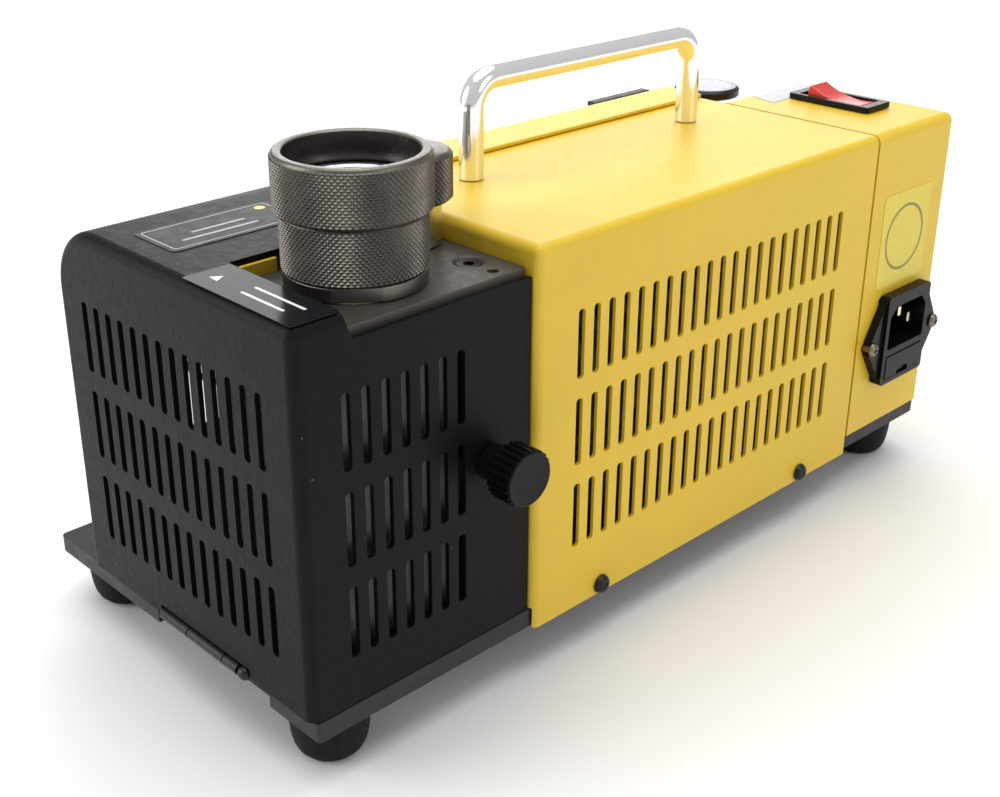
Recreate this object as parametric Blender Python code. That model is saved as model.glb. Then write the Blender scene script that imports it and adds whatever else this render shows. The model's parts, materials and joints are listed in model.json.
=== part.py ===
"""Bench drill bit sharpener, built piece by piece.

Sizes are written in millimetres in the machine's own bench frame: "along" runs from the outer face of
the hinged grinding cover to the mains inlet end, "across" runs from the long side with the cover lock
to the operator's side, and "up" is measured from the top of the base plate. finish() turns every piece
into metres in the model frame: +X is the grinding end, -Y is the operator's side, +Z is up.
"""
import math

import bmesh
import bpy
from mathutils import Matrix, Vector

# ---------------------------------------------------------------- driving dimensions (mm)
SHEET = 1.5                 # folded steel of the covers
GAP = 0.3                   # between pieces that touch
RUN = 0.5                   # between pieces that move past each other

PLATE_START, PLATE_END = 1.5, 286.9
PLATE_NEAR, PLATE_FAR = -0.2, 131.6
PLATE_T = 6.0
HINGE_NOTCH = (21.3, 75.5)  # across, cut into the grinding end of the plate

FOOT_R, FOOT_H, FOOT_INSET = 11.3, 15.0, 13.7

COVER_LEN, COVER_WIDE, COVER_TOP = 77.2, 109.3, 109.3
COVER_FOOT = 0.4
COVER_FAR_BEND = 19.0
COVER_BEND = 3.3
STRIP_EDGE, WALL_EDGE, OPENING_FAR = 15.8, 102.3, 46.8

MAIN_START, MAIN_END, MAIN_TOP = 77.8, 237.3, 110.6
MAIN_NEAR, MAIN_FAR, MAIN_LAP = -2.0, 88.5, 73.0
SKIRT_FOOT = -6.2
PANEL_EDGE, PANEL_FACE, PANEL_TOP = 72.0, 90.0, 112.1

REAR_START, REAR_END, REAR_FAR, REAR_FOOT = 238.5, 286.3, 64.0, 0.5

VENT_PITCH, VENT_LEN, VENT_WIDE = 6.2, 20.8, 2.7
VENT_ROWS = (25.1, 52.0, 78.8)
END_VENTS = (14.35, 14)     # first column, number of columns
SIDE_VENTS = (14.8, 7)
MAIN_VENTS = (94.8, 21)

DECK_TOP, DECK_T = 104.3, 3.0
CHUCK = (39.8, 25.8)        # upright chuck station
CHUCK_BORE = 16.9
POST = (69.2, 37.4)

AXIS_ACROSS, AXIS_UP = 46.5, 52.0     # motor and wheel axis
WHEEL_R = 38.0
MOTOR_R = 36.0

HINGE_ALONG, HINGE_UP = 0.4, 0.9
KNUCKLE_R = 1.75
KNUCKLES = (32.5, 39.0, 56.2, 69.9)
LOCK = (62.0, 54.3)

HANDLE_START, HANDLE_SPAN, HANDLE_ACROSS = 107.3, 100.0, 55.0
HANDLE_R, HANDLE_BEND, HANDLE_UP = 3.7, 8.5, 139.9

SWITCH = (267.0, 33.5)      # centre on the rear box, along and across
SWITCH_SIZE = (14.8, 33.0)
INLET = (263.3, 33.8)       # centre on the near side, along and up
INLET_EARS = 40.0

ANGLE_PIVOT = (41.0, 84.5)  # under the wheel's front rim
ANGLE_TILT = math.radians(31.0)
ANGLE_REACH = 55.0
ANGLE_CLAMP = 43.5

GAUGE = (221.0, 60.0)       # setting socket, along and up
DIAL = (267.8, 93.0)

# the model's origin is the middle of its bounding box, on the ground
MIDDLE_ALONG, MIDDLE_ACROSS = 142.65, 66.19
GROUND = -(PLATE_T + GAP + FOOT_H)

ALONG, ACROSS, UP = Vector((1, 0, 0)), Vector((0, 1, 0)), Vector((0, 0, 1))
TO_MODEL = (Matrix.Scale(0.001, 4) @ Matrix.Rotation(math.pi, 4, "Z")
            @ Matrix.Translation((-MIDDLE_ALONG, -MIDDLE_ACROSS, -GROUND)))

COLOURS = {
    "yellow": ((0.68, 0.50, 0.08), 0.50, 0.0),
    "cover_black": ((0.035, 0.035, 0.038), 0.55, 0.0),
    "grey_plate": ((0.16, 0.15, 0.14), 0.45, 0.3),
    "satin_steel": ((0.34, 0.32, 0.30), 0.38, 1.0),
    "bright_steel": ((0.62, 0.61, 0.60), 0.25, 1.0),
    "chrome": ((0.80, 0.80, 0.82), 0.06, 1.0),
    "rubber": ((0.02, 0.02, 0.022), 0.75, 0.0),
    "black_plastic": ((0.02, 0.02, 0.02), 0.40, 0.0),
    "red_plastic": ((0.62, 0.03, 0.015), 0.30, 0.0),
    "brass": ((0.70, 0.55, 0.28), 0.30, 1.0),
    "motor_paint": ((0.08, 0.09, 0.10), 0.50, 0.0),
    "wheel_grit": ((0.42, 0.40, 0.36), 0.80, 0.0),
    "black_screw": ((0.03, 0.03, 0.03), 0.35, 0.6),
}


# ---------------------------------------------------------------- making shapes
def clear_scene():
    for item in list(bpy.data.objects):
        bpy.data.objects.remove(item, do_unlink=True)


def material(name):
    found = bpy.data.materials.get(name)
    if found:
        return found
    colour, roughness, metallic = COLOURS[name]
    made = bpy.data.materials.new(name)
    made.use_nodes = True
    shader = made.node_tree.nodes["Principled BSDF"]
    shader.inputs["Base Color"].default_value = (*colour, 1.0)
    shader.inputs["Roughness"].default_value = roughness
    shader.inputs["Metallic"].default_value = metallic
    return made


def new_object(name, bm):
    bmesh.ops.recalc_face_normals(bm, faces=bm.faces[:])
    mesh = bpy.data.meshes.new(name)
    bm.to_mesh(mesh)
    bm.free()
    made = bpy.data.objects.new(name, mesh)
    bpy.context.scene.collection.objects.link(made)
    return made


def box(name, along, across, up):
    """A block between two values on each axis."""
    bm = bmesh.new()
    bmesh.ops.create_cube(bm, size=1.0)
    for vert in bm.verts:
        for axis, span in enumerate((along, across, up)):
            vert.co[axis] = span[0] if vert.co[axis] < 0 else span[1]
    return new_object(name, bm)


def frame_along(axis):
    """Rotation that turns +Z onto one of the bench axes."""
    return axis.to_track_quat("Z", "Y").to_matrix().to_4x4()


def rod(name, start, axis, length, radius, segments=24):
    """A cylinder from a start point along an axis."""
    bm = bmesh.new()
    place = Matrix.Translation(Vector(start) + axis * (length / 2)) @ frame_along(axis)
    bmesh.ops.create_cone(bm, cap_ends=True, segments=segments, radius1=radius, radius2=radius,
                          depth=length, matrix=place)
    return new_object(name, bm)


def turned(name, profile, centre, axis=UP, segments=40):
    """A body of revolution: profile is a closed list of (radius, height) about the axis."""
    bm = bmesh.new()
    place = Matrix.Translation(Vector(centre)) @ frame_along(axis)
    rings = []
    for step in range(segments):
        turn = 2 * math.pi * step / segments
        rings.append([bm.verts.new(place @ Vector((r * math.cos(turn), r * math.sin(turn), h)))
                      for r, h in profile])
    count = len(profile)
    for step in range(segments):
        ring, after = rings[step], rings[(step + 1) % segments]
        for i in range(count):
            j = (i + 1) % count
            bm.faces.new((ring[i], ring[j], after[j], after[i]))
    bmesh.ops.remove_doubles(bm, verts=bm.verts[:], dist=1e-4)
    return new_object(name, bm)


def prism(name, outline, place, depth):
    """An outline of (x, y) points, extruded by depth along the local Z of place."""
    bm = bmesh.new()
    low = [bm.verts.new(place @ Vector((x, y, 0.0))) for x, y in outline]
    high = [bm.verts.new(place @ Vector((x, y, depth))) for x, y in outline]
    bm.faces.new(low)
    bm.faces.new(high)
    count = len(outline)
    for i in range(count):
        j = (i + 1) % count
        bm.faces.new((low[i], low[j], high[j], high[i]))
    return new_object(name, bm)


def round_bar(name, points, radius, segments=14):
    """A round rod bent along a list of points that lie in one plane of constant across."""
    bm = bmesh.new()
    rings = []
    for i, point in enumerate(points):
        before = points[max(i - 1, 0)]
        after = points[min(i + 1, len(points) - 1)]
        heading = (after - before).normalized()
        outward = heading.cross(ACROSS)
        ring = []
        for step in range(segments):
            turn = 2 * math.pi * step / segments
            ring.append(bm.verts.new(point + radius * (math.cos(turn) * outward + math.sin(turn) * ACROSS)))
        rings.append(ring)
    for ring, after in zip(rings, rings[1:]):
        for i in range(segments):
            j = (i + 1) % segments
            bm.faces.new((ring[i], ring[j], after[j], after[i]))
    bm.faces.new(rings[0])
    bm.faces.new(rings[-1])
    return new_object(name, bm)


def combine(target, other, operation):
    """Applies one exact Boolean to the target and removes the other object."""
    step = target.modifiers.new("step", "BOOLEAN")
    step.operation = operation
    step.solver = "EXACT"
    step.object = other
    graph = bpy.context.evaluated_depsgraph_get()
    result = bpy.data.meshes.new_from_object(target.evaluated_get(graph))
    target.modifiers.clear()
    target.data = result
    bpy.data.objects.remove(other, do_unlink=True)
    return target


def cut(target, *others):
    for other in others:
        combine(target, other, "DIFFERENCE")
    return target


def join(target, *others):
    for other in others:
        combine(target, other, "UNION")
    return target


def soften(item, width, segments, chosen):
    """Rounds the edges for which chosen(edge) is true."""
    bm = bmesh.new()
    bm.from_mesh(item.data)
    edges = [edge for edge in bm.edges if chosen(edge)]
    bmesh.ops.bevel(bm, geom=edges, offset=width, segments=segments, profile=0.5, affect="EDGES",
                    clamp_overlap=True)
    bm.to_mesh(item.data)
    bm.free()
    return item


def finish(item, look, pivot=None):
    """Moves a piece into the model frame; its origin goes to the pivot where it moves."""
    item.data.transform(TO_MODEL)
    if pivot is not None:
        place = TO_MODEL @ Vector(pivot)
        item.data.transform(Matrix.Translation(-place))
        item.location = place
    item.data.materials.clear()
    item.data.materials.append(material(look))
    item.data.shade_smooth()
    item.data.set_sharp_from_angle(angle=math.radians(35))
    return item


def same(a, b):
    return abs(a - b) < 1e-3


# ---------------------------------------------------------------- vents
def vent_outline():
    """One upright slot with cropped ends, about its own centre."""
    half, end = VENT_WIDE / 2, VENT_LEN / 2
    crop = half * 0.55
    return [(-half, crop - end), (-crop, -end), (crop, -end), (half, crop - end),
            (half, end - crop), (crop, end), (-crop, end), (-half, end - crop)]


def vent_cutter(first, count, wall, normal):
    """Cutters for a block of slots, as one mesh; wall is the middle of the sheet."""
    bm = bmesh.new()
    outline = vent_outline()
    depth = 4.0
    for row in VENT_ROWS:
        for column in range(count):
            where = first + VENT_PITCH * column
            low, high = [], []
            for x, y in outline:
                if normal == "along":
                    low.append(bm.verts.new((wall - depth, where + x, row + y)))
                    high.append(bm.verts.new((wall + depth, where + x, row + y)))
                else:
                    low.append(bm.verts.new((where + x, wall - depth, row + y)))
                    high.append(bm.verts.new((where + x, wall + depth, row + y)))
            bm.faces.new(low)
            bm.faces.new(high)
            for i in range(len(outline)):
                j = (i + 1) % len(outline)
                bm.faces.new((low[i], low[j], high[j], high[i]))
    return new_object("vent_cutter", bm)


# ---------------------------------------------------------------- base
def base_plate():
    plate = box("base_plate", (PLATE_START, PLATE_END), (PLATE_NEAR, PLATE_FAR), (-PLATE_T, 0))
    soften(plate, 1.0, 1, lambda e: same((e.verts[0].co - e.verts[1].co).length, PLATE_T))
    cut(plate, box("notch", (0, 4.0), HINGE_NOTCH, (-10, 5)))
    for along, across in foot_places():
        cut(plate, rod("hole", (along, across, -10), UP, 20, 2.5, 12))
    for along in SCREW_ALONG:
        cut(plate, rod("edge_hole", (along, -2, -3.0), ACROSS, 12, 1.8, 12))
    finish(plate, "grey_plate")


def foot_places():
    near, far = PLATE_NEAR + FOOT_INSET, PLATE_FAR - FOOT_INSET
    start, end = PLATE_START + FOOT_INSET, PLATE_END - FOOT_INSET
    return ((start, near), (end, near), (start, far), (end, far))


def feet():
    names = ("near_grinding", "near_rear", "far_grinding", "far_rear")
    bottom = 0.0
    profile = [(2.6, 8.0), (4.6, 8.0), (4.6, bottom), (7.4, bottom), (9.0, 1.2), (10.2, 4.0),
               (11.0, 8.0), (FOOT_R, 12.0), (FOOT_R, FOOT_H), (2.6, FOOT_H)]
    for name, (along, across) in zip(names, foot_places()):
        finish(turned("foot_" + name, profile, (along, across, GROUND), UP, 28), "rubber")
        screw = turned("foot_screw_" + name,
                       [(0.0, 4.6), (3.9, 4.6), (3.9, 7.7), (2.1, 7.7), (2.1, 20.4), (0.0, 20.4)],
                       (along, across, GROUND), UP, 12)
        finish(screw, "bright_steel")


SCREW_ALONG = (106.6, 209.2)


def skirt_screws():
    for number, along in enumerate(SCREW_ALONG, 1):
        head = turned("cover_screw_%d" % number,
                      [(0.0, 0.0), (1.4, 0.1), (2.4, 0.7), (3.0, 2.1), (1.5, 2.1), (1.5, 9.0), (0.0, 9.0)],
                      (along, MAIN_NEAR - GAP - 2.1, -3.0), ACROSS, 16)
        finish(head, "black_screw")


# ---------------------------------------------------------------- yellow covers
def folded_box(name, along, across, up, bend, rounded):
    """A block whose chosen edges are bent round."""
    block = box(name, along, across, up)
    return soften(block, bend, 3, rounded)


def main_cover():
    def near_top_or_front(edge):
        a, b = edge.verts[0].co, edge.verts[1].co
        on_top = same(a.z, MAIN_TOP) and same(b.z, MAIN_TOP)
        on_near = same(a.y, MAIN_NEAR) and same(b.y, MAIN_NEAR)
        on_front = same(a.x, MAIN_START) and same(b.x, MAIN_START)
        return (on_top and (on_near or on_front)) or (on_near and on_front)

    cover = folded_box("main_cover", (MAIN_START, MAIN_END), (MAIN_NEAR, MAIN_FAR), (SKIRT_FOOT, MAIN_TOP),
                       2.4, near_top_or_front)
    inner_near, inner_top = MAIN_NEAR + SHEET, MAIN_TOP - SHEET
    cut(cover, box("hollow", (MAIN_START + SHEET, MAIN_END - SHEET), (inner_near, 120), (-20, inner_top)))
    cut(cover, box("top_far", (MAIN_START + SHEET, MAIN_END - SHEET), (MAIN_LAP, 120), (90, 130)))
    cut(cover, box("over_plate", (70, 300), (inner_near, 120), (-20, COVER_FOOT)))
    cut(cover, box("spindle_gap", (70, 85), (AXIS_ACROSS - 18, AXIS_ACROSS + 18), (-20, AXIS_UP)))
    cut(cover, rod("spindle_arch", (70, AXIS_ACROSS, AXIS_UP), ALONG, 15, 18, 24))
    cut(cover, rod("wire_hole", (MAIN_END - 4, 30, 60), ALONG, 8, 7, 16))
    cut(cover, vent_cutter(*MAIN_VENTS, MAIN_NEAR + SHEET / 2, "across"))
    for along in SCREW_ALONG:
        cut(cover, rod("screw_hole", (along, -6, -3.0), ACROSS, 8, 2.0, 12))
    for along in (HANDLE_START, HANDLE_START + HANDLE_SPAN):
        cut(cover, rod("handle_hole", (along, HANDLE_ACROSS, 100), UP, 20, 2.6, 12))
    finish(cover, "yellow")


def front_panel():
    def top_far(edge):
        a, b = edge.verts[0].co, edge.verts[1].co
        return same(a.z, PANEL_TOP) and same(b.z, PANEL_TOP) and same(a.y, PANEL_FACE) and same(b.y, PANEL_FACE)

    sheet = 1.2
    panel = folded_box("front_panel", (MAIN_START + GAP, MAIN_END), (PANEL_EDGE, PANEL_FACE),
                       (COVER_FOOT, PANEL_TOP), 2.4, top_far)
    cut(panel, box("hollow", (70, 300), (60, PANEL_FACE - sheet), (-5, PANEL_TOP - sheet)))
    finish(panel, "yellow")


def rear_box():
    def outer(edge):
        a, b = edge.verts[0].co, edge.verts[1].co
        upright = same(a.x, b.x) and same(a.y, b.y) and same(a.x, REAR_END)
        top = same(a.z, MAIN_TOP) and same(b.z, MAIN_TOP) and not (same(a.x, REAR_START) and same(b.x, REAR_START))
        return upright or top

    case = folded_box("rear_box", (REAR_START, REAR_END), (MAIN_NEAR, REAR_FAR), (REAR_FOOT, MAIN_TOP), 3.0, outer)
    cut(case, box("hollow", (REAR_START + SHEET, REAR_END - SHEET), (MAIN_NEAR + SHEET, REAR_FAR - SHEET),
                  (-20, MAIN_TOP - SHEET)))
    along, across = SWITCH
    cut(case, box("switch_hole", (along - 6.3, along + 6.3), (across - 14.0, across + 14.0), (90, 130)))
    along, up = INLET
    cut(case, box("inlet_hole", (along - 14.0, along + 14.0), (-10, 5), (up - 15.6, up + 15.6)))
    for side in (-0.5, 0.5):
        cut(case, rod("ear_hole", (along + side * INLET_EARS, -8, up), ACROSS, 12, 1.9, 12))
    cut(case, rod("wire_hole", (REAR_START - 3, 30, 60), ALONG, 8, 7, 16))
    finish(case, "yellow")


def wheel_guard():
    start, end, near, far, top = 17.5, MAIN_START - GAP, 5.5, 88.5, DECK_TOP - DECK_T - GAP
    guard = box("wheel_guard", (start, end), (near, far), (GAP, top))
    cut(guard, box("hollow", (start + SHEET, 90), (near + SHEET, far - SHEET), (-5, top - SHEET)))
    cut(guard, rod("chuck_way", (*CHUCK, 90), UP, 20, CHUCK_BORE, 32))
    cut(guard, rod("screw_way", (*DECK_SCREW, 90), UP, 20, 2.3, 12))
    cut(guard, box("lock_way", (70, 90), (near - 2, near + 4), (40, 70)))
    cut(guard, box("end_window", (start - 5, start + 5), (60.0, 83.5), (46, 79)))
    cut(guard, box("drill_way", (start + 3.5, 90), (far - 5, far + 5), (33, 73)))
    join(guard, box("stop_lip", (start, 29.6), (45.3, 46.5), (top - 1.0, MAIN_TOP - SHEET - 1.4)))
    finish(guard, "yellow")


# ---------------------------------------------------------------- deck and upright station
def deck_plate():
    deck = box("deck_plate", (16.6, MAIN_START - GAP), (2.4, 45.0), (DECK_TOP - DECK_T, DECK_TOP))
    soften(deck, 1.2, 2, lambda e: same(abs(e.verts[0].co.z - e.verts[1].co.z), DECK_T)
           and e.verts[0].co.y < 10)
    cut(deck, rod("chuck_hole", (*CHUCK, 90), UP, 30, CHUCK_BORE, 32))
    along, across = DECK_SCREW
    cut(deck, turned("countersink", [(0.0, -6.0), (2.3, -6.0), (2.3, -2.4), (4.4, 0.0), (4.4, 1.0), (0.0, 1.0)],
                     (along, across, DECK_TOP), UP, 20))
    cut(deck, rod("pin_hole", (69.4, 6.6, 90), UP, 20, 1.5, 12))
    finish(deck, "grey_plate")
    screw = turned("deck_screw",
                   [(0.0, -9.0), (1.9, -9.0), (1.9, -2.7), (3.4, -0.9), (3.4, -0.5), (1.7, -0.5),
                    (1.7, -2.2), (0.0, -2.2)],
                   (along, across, DECK_TOP), UP, 18)
    finish(screw, "black_screw")


DECK_SCREW = (69.6, 15.9)


def chuck_station():
    place = (*CHUCK, 0)
    base = DECK_TOP + GAP
    flange = turned("station_flange", [(CHUCK_BORE, base), (18.5, base), (18.5, 108.4), (CHUCK_BORE, 108.4)],
                    place, UP, 48)
    facing = Matrix.Translation((*CHUCK, 0)) @ Matrix.Rotation(math.radians(51.8), 4, "Z")
    for side in (-1, 1):
        slab = box("flat", (side * 17.4, side * 25.0), (-20, 20), (100, 112))
        if side < 0:
            slab.data.flip_normals()
        slab.data.transform(facing)
        cut(flange, slab)
    finish(flange, "satin_steel")
    lower = turned("lower_ring", [(CHUCK_BORE + RUN, 108.7), (18.9, 108.7), (18.9, 123.3),
                                  (CHUCK_BORE + RUN, 123.3)], place, UP, 48)
    finish(lower, "satin_steel", place)
    upper = turned("upper_ring", [(CHUCK_BORE + RUN, 123.6), (19.7, 123.6), (20.3, 124.2), (20.3, 137.4),
                                  (19.7, 138.6), (17.9, 138.6), (17.2, 138.0), (17.2, 130.9),
                                  (CHUCK_BORE + RUN, 130.5)], place, UP, 48)
    finish(upper, "satin_steel", place)
    sleeve = turned("chuck_sleeve", [(14.2, base), (CHUCK_BORE - GAP, base), (CHUCK_BORE - GAP, 130.3),
                                     (14.9, 130.3), (14.2, 129.6)], place, UP, 40)
    finish(sleeve, "bright_steel")


def stop_post():
    place = (*POST, 0)
    base = DECK_TOP + GAP
    finish(turned("stop_post", [(0.0, base), (7.8, base), (7.8, 116.6), (4.0, 116.6), (4.0, 128.6), (0.0, 128.6)],
                  place, UP, 32), "bright_steel")
    knob = turned("stop_knob", [(4.4, 116.9), (10.2, 116.9), (11.0, 117.7), (11.0, 129.8), (10.2, 130.6),
                                (0.0, 130.6), (0.0, 129.2), (4.4, 129.2)], place, UP, 40)
    finish(knob, "satin_steel", place)


# ---------------------------------------------------------------- handle
def carry_handle():
    foot, top = MAIN_TOP + GAP, HANDLE_UP
    start, end, across = HANDLE_START, HANDLE_START + HANDLE_SPAN, HANDLE_ACROSS
    points = [Vector((start, across, foot))]
    for step in range(7):
        turn = math.radians(15 * step)
        points.append(Vector((start + HANDLE_BEND * (1 - math.cos(turn)), across,
                              top - HANDLE_BEND * (1 - math.sin(turn)))))
    for step in range(7):
        turn = math.radians(90 - 15 * step)
        points.append(Vector((end - HANDLE_BEND * (1 - math.cos(turn)), across,
                              top - HANDLE_BEND * (1 - math.sin(turn)))))
    points.append(Vector((end, across, foot)))
    handle = round_bar("carry_handle", points, HANDLE_R, 16)
    for number, along in enumerate((start, end), 1):
        cut(handle, rod("thread", (along, across, foot - 2), UP, 12, 2.4, 12))
        screw = turned("handle_screw_%d" % number,
                       [(0.0, 105.4), (4.0, 105.4), (4.0, 108.8), (2.1, 108.8), (2.1, 119.5), (0.0, 119.5)],
                       (along, across, 0), UP, 12)
        finish(screw, "bright_steel")
    finish(handle, "chrome")


# ---------------------------------------------------------------- switch and inlet
def power_switch():
    along, across = SWITCH
    wide, long = SWITCH_SIZE
    top = MAIN_TOP + GAP
    case = box("switch_case", (along - wide / 2, along + wide / 2), (across - long / 2, across + long / 2),
               (top, top + 2.0))
    soften(case, 0.8, 1, lambda e: same(e.verts[0].co.z, top + 2.0) and same(e.verts[1].co.z, top + 2.0))
    join(case, box("body", (along - 6.0, along + 6.0), (across - 13.6, across + 13.6), (top - 20, top + 1)))
    cut(case, box("well", (along - 5.4, along + 5.4), (across - 12.9, across + 12.9), (top - 12, top + 5)))
    finish(case, "black_plastic")
    tilt = math.radians(11)
    pivot = (along, across, top - 2.5)
    place = Matrix.Translation(pivot) @ Matrix.Rotation(math.pi / 2, 4, "Z") @ Matrix.Rotation(math.pi / 2, 4, "X")
    outline = [(-11.0, 3.6), (-10.6, 6.1), (0.0, 4.6), (10.6, 6.1), (11.0, 3.6), (9.0, -2.0), (-9.0, -2.0)]
    rocker = prism("switch_rocker", outline, place @ Matrix.Translation((0, 0, -4.9)), 9.8)
    turn = Matrix.Translation(pivot) @ Matrix.Rotation(tilt, 4, "X") @ Matrix.Translation(-Vector(pivot))
    rocker.data.transform(turn)
    finish(rocker, "red_plastic", pivot)


def mains_inlet():
    along, up = INLET
    face = MAIN_NEAR - GAP
    ear, half, shoulder = 22.6, 16.6, 13.8
    head = half + 1.6
    outline = [(-shoulder, -half), (shoulder, -half), (ear, -3.2), (ear, 3.2), (shoulder, head),
               (-shoulder, head), (-ear, 3.2), (-ear, -3.2)]
    place = Matrix.Translation((along, face, up)) @ Matrix.Rotation(math.pi / 2, 4, "X")
    inlet = prism("mains_inlet", outline, place, 2.9)
    join(inlet, box("body", (along - 13.6, along + 13.6), (face - 1, 22.0), (up - 15.2, up + 15.2)))
    socket = [(-11.8, -8.2), (11.8, -8.2), (11.8, 4.0), (7.6, 8.2), (-7.6, 8.2), (-11.8, 4.0)]
    cut(inlet, prism("socket", socket, Matrix.Translation((along, 11.0, up + 5.4))
                     @ Matrix.Rotation(math.pi / 2, 4, "X"), 25.0))
    cut(inlet, box("drawer_way", (along - 11.6, along + 11.6), (-10, 15.0), (up - 14.2, up - 5.0)))
    for side in (-0.5, 0.5):
        cut(inlet, rod("ear_hole", (along + side * INLET_EARS, -8, up), ACROSS, 10, 1.7, 12))
    for x, y in PINS.values():
        cut(inlet, box("pin_hole", (along + x - 1.2, along + x + 1.2), (8, 30), (up + y - 2.3, up + y + 2.3)))
    finish(inlet, "black_plastic")
    for name, (x, y) in PINS.items():
        pin = box("inlet_pin_" + name, (along + x - 0.9, along + x + 0.9), (-3.0, 27.0), (up + y - 2.0, up + y + 2.0))
        finish(pin, "brass")
    drawer = box("fuse_drawer", (along - 11.2, along + 11.2), (-4.0, 14.2), (up - 13.8, up - 5.4))
    join(drawer, box("lip", (along - 11.2, along + 11.2), (-6.6, -3.5), (up - 13.8, up - 5.4)))
    soften(drawer, 0.6, 1, lambda e: same(e.verts[0].co.y, -6.6) and same(e.verts[1].co.y, -6.6))
    finish(drawer, "black_plastic", (along, -6.6, up - 9.6))
    for number, side in enumerate((-0.5, 0.5), 1):
        screw = turned("inlet_screw_%d" % number,
                       [(0.0, 0.0), (1.8, 0.2), (2.6, 1.4), (1.4, 1.4), (1.4, 9.0), (0.0, 9.0)],
                       (along + side * INLET_EARS, face - 2.9 - GAP - 1.4, up), ACROSS, 16)
        finish(screw, "bright_steel")


PINS = {"earth": (0.0, 8.6), "line": (-7.0, 4.4), "neutral": (7.0, 4.4)}


# ---------------------------------------------------------------- motor and wheel
def on_axis(name, profile, segments=40):
    return turned(name, profile, (0, AXIS_ACROSS, AXIS_UP), ALONG, segments)


def motor():
    finish(on_axis("motor_body", [(22.0, 92.0), (MOTOR_R, 92.0), (MOTOR_R, 190.0), (22.0, 190.0)], 40), "motor_paint")
    for name, start, end, seat in (("motor_front_bell", 81.5, 91.7, 82.5), ("motor_rear_bell", 190.3, 200.5, 192.0)):
        finish(on_axis(name, [(9.3, start), (34.0, start), (34.0, end), (9.3, end)], 40), "motor_paint")
        bearing = name.replace("motor", "shaft").replace("bell", "bearing")
        finish(on_axis(bearing, [(5.3, seat), (9.0, seat), (9.0, seat + 7.0), (5.3, seat + 7.0)], 28), "bright_steel")
    finish(on_axis("motor_shaft", [(0.0, 24.0), (4.4, 24.0), (4.8, 25.0), (4.8, 203.0), (0.0, 203.0)], 20),
           "bright_steel", (0, AXIS_ACROSS, AXIS_UP))
    finish(on_axis("rotor", [(5.1, 100.0), (21.0, 100.0), (21.0, 182.0), (5.1, 182.0)], 32), "satin_steel",
           (0, AXIS_ACROSS, AXIS_UP))
    bracket = box("motor_bracket", (104, 178), (26, 67), (GAP, 26))
    cut(bracket, rod("saddle", (90, AXIS_ACROSS, AXIS_UP), ALONG, 120, MOTOR_R + GAP, 40))
    finish(bracket, "grey_plate")


def grinding_wheel():
    centre = (0, AXIS_ACROSS, AXIS_UP)
    wheel = on_axis("grinding_wheel", [(5.1, 38.0), (15.0, 38.0), (18.0, 34.0), (WHEEL_R, 34.0), (WHEEL_R, 47.0),
                                       (5.1, 47.0)], 48)
    finish(wheel, "wheel_grit", centre)
    finish(on_axis("wheel_flange", [(5.1, 47.3), (15.0, 47.3), (15.0, 50.5), (9.0, 52.0), (9.0, 62.0), (5.1, 62.0)],
                   28), "bright_steel", centre)
    nut = on_axis("wheel_nut", [(0.0, 31.0), (9.2, 31.0), (9.2, 37.7), (0.0, 37.7)], 6)
    cut(nut, rod("thread", (25, AXIS_ACROSS, AXIS_UP), ALONG, 20, 5.1, 28))
    finish(nut, "bright_steel", centre)


# ---------------------------------------------------------------- hinged grinding cover
def cover_outline(inset):
    """Section of the grinding cover: sharp bend on the near side, wide bend on the operator's side."""
    near, far, top = inset, COVER_WIDE - inset, COVER_TOP - inset
    foot = COVER_FOOT if inset == 0 else COVER_FOOT - 20
    small, wide = COVER_BEND - inset, COVER_FAR_BEND - inset
    points = [(near, foot)]
    for step in range(4):
        turn = math.radians(30 * step)
        points.append((near + small * (1 - math.cos(turn)), top - small * (1 - math.sin(turn))))
    for step in range(7):
        turn = math.radians(90 - 15 * step)
        points.append((far - wide * (1 - math.cos(turn)), top - wide * (1 - math.sin(turn))))
    points.append((far, foot))
    return points


def cover_shell(name, inset, start, end):
    """The section extruded along the machine, with its outer end edge rounded."""
    outline = cover_outline(inset)
    turn = Matrix(((0, 0, 1, 0), (1, 0, 0, 0), (0, 1, 0, 0), (0, 0, 0, 1)))
    shell = prism(name, outline, Matrix.Translation((start, 0, 0)) @ turn, end - start)
    foot = outline[0][1]
    soften(shell, COVER_BEND - inset, 3, lambda e: same(e.verts[0].co.x, start) and same(e.verts[1].co.x, start)
           and not (same(e.verts[0].co.z, foot) and same(e.verts[1].co.z, foot)))
    return shell


def grinding_cover():
    pivot = (HINGE_ALONG, 0, HINGE_UP)
    cover = cover_shell("grinding_cover", 0, 0.0, COVER_LEN)
    cut(cover, cover_shell("hollow", SHEET, SHEET, COVER_LEN + 20))
    cut(cover, box("opening", (STRIP_EDGE, 90), (-5, OPENING_FAR), (WALL_EDGE, 130)))
    cut(cover, box("post_way", (55, 90), (30, 49.4), (WALL_EDGE, 130)))
    cut(cover, box("barrel_notch", (-5, 5), (KNUCKLES[0] - 5.2, KNUCKLES[-1] + 0.7), (-5, 3.5)))
    cut(cover, box("drill_window", (36, 74), (100, 120), (33, 71)))
    cut(cover, rod("lock_hole", (LOCK[0], -5, LOCK[1]), ACROSS, 12, 3.0, 16))
    cut(cover, vent_cutter(*END_VENTS, SHEET / 2, "along"))
    cut(cover, vent_cutter(*SIDE_VENTS, SHEET / 2, "across"))
    finish(cover, "cover_black", pivot)


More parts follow.
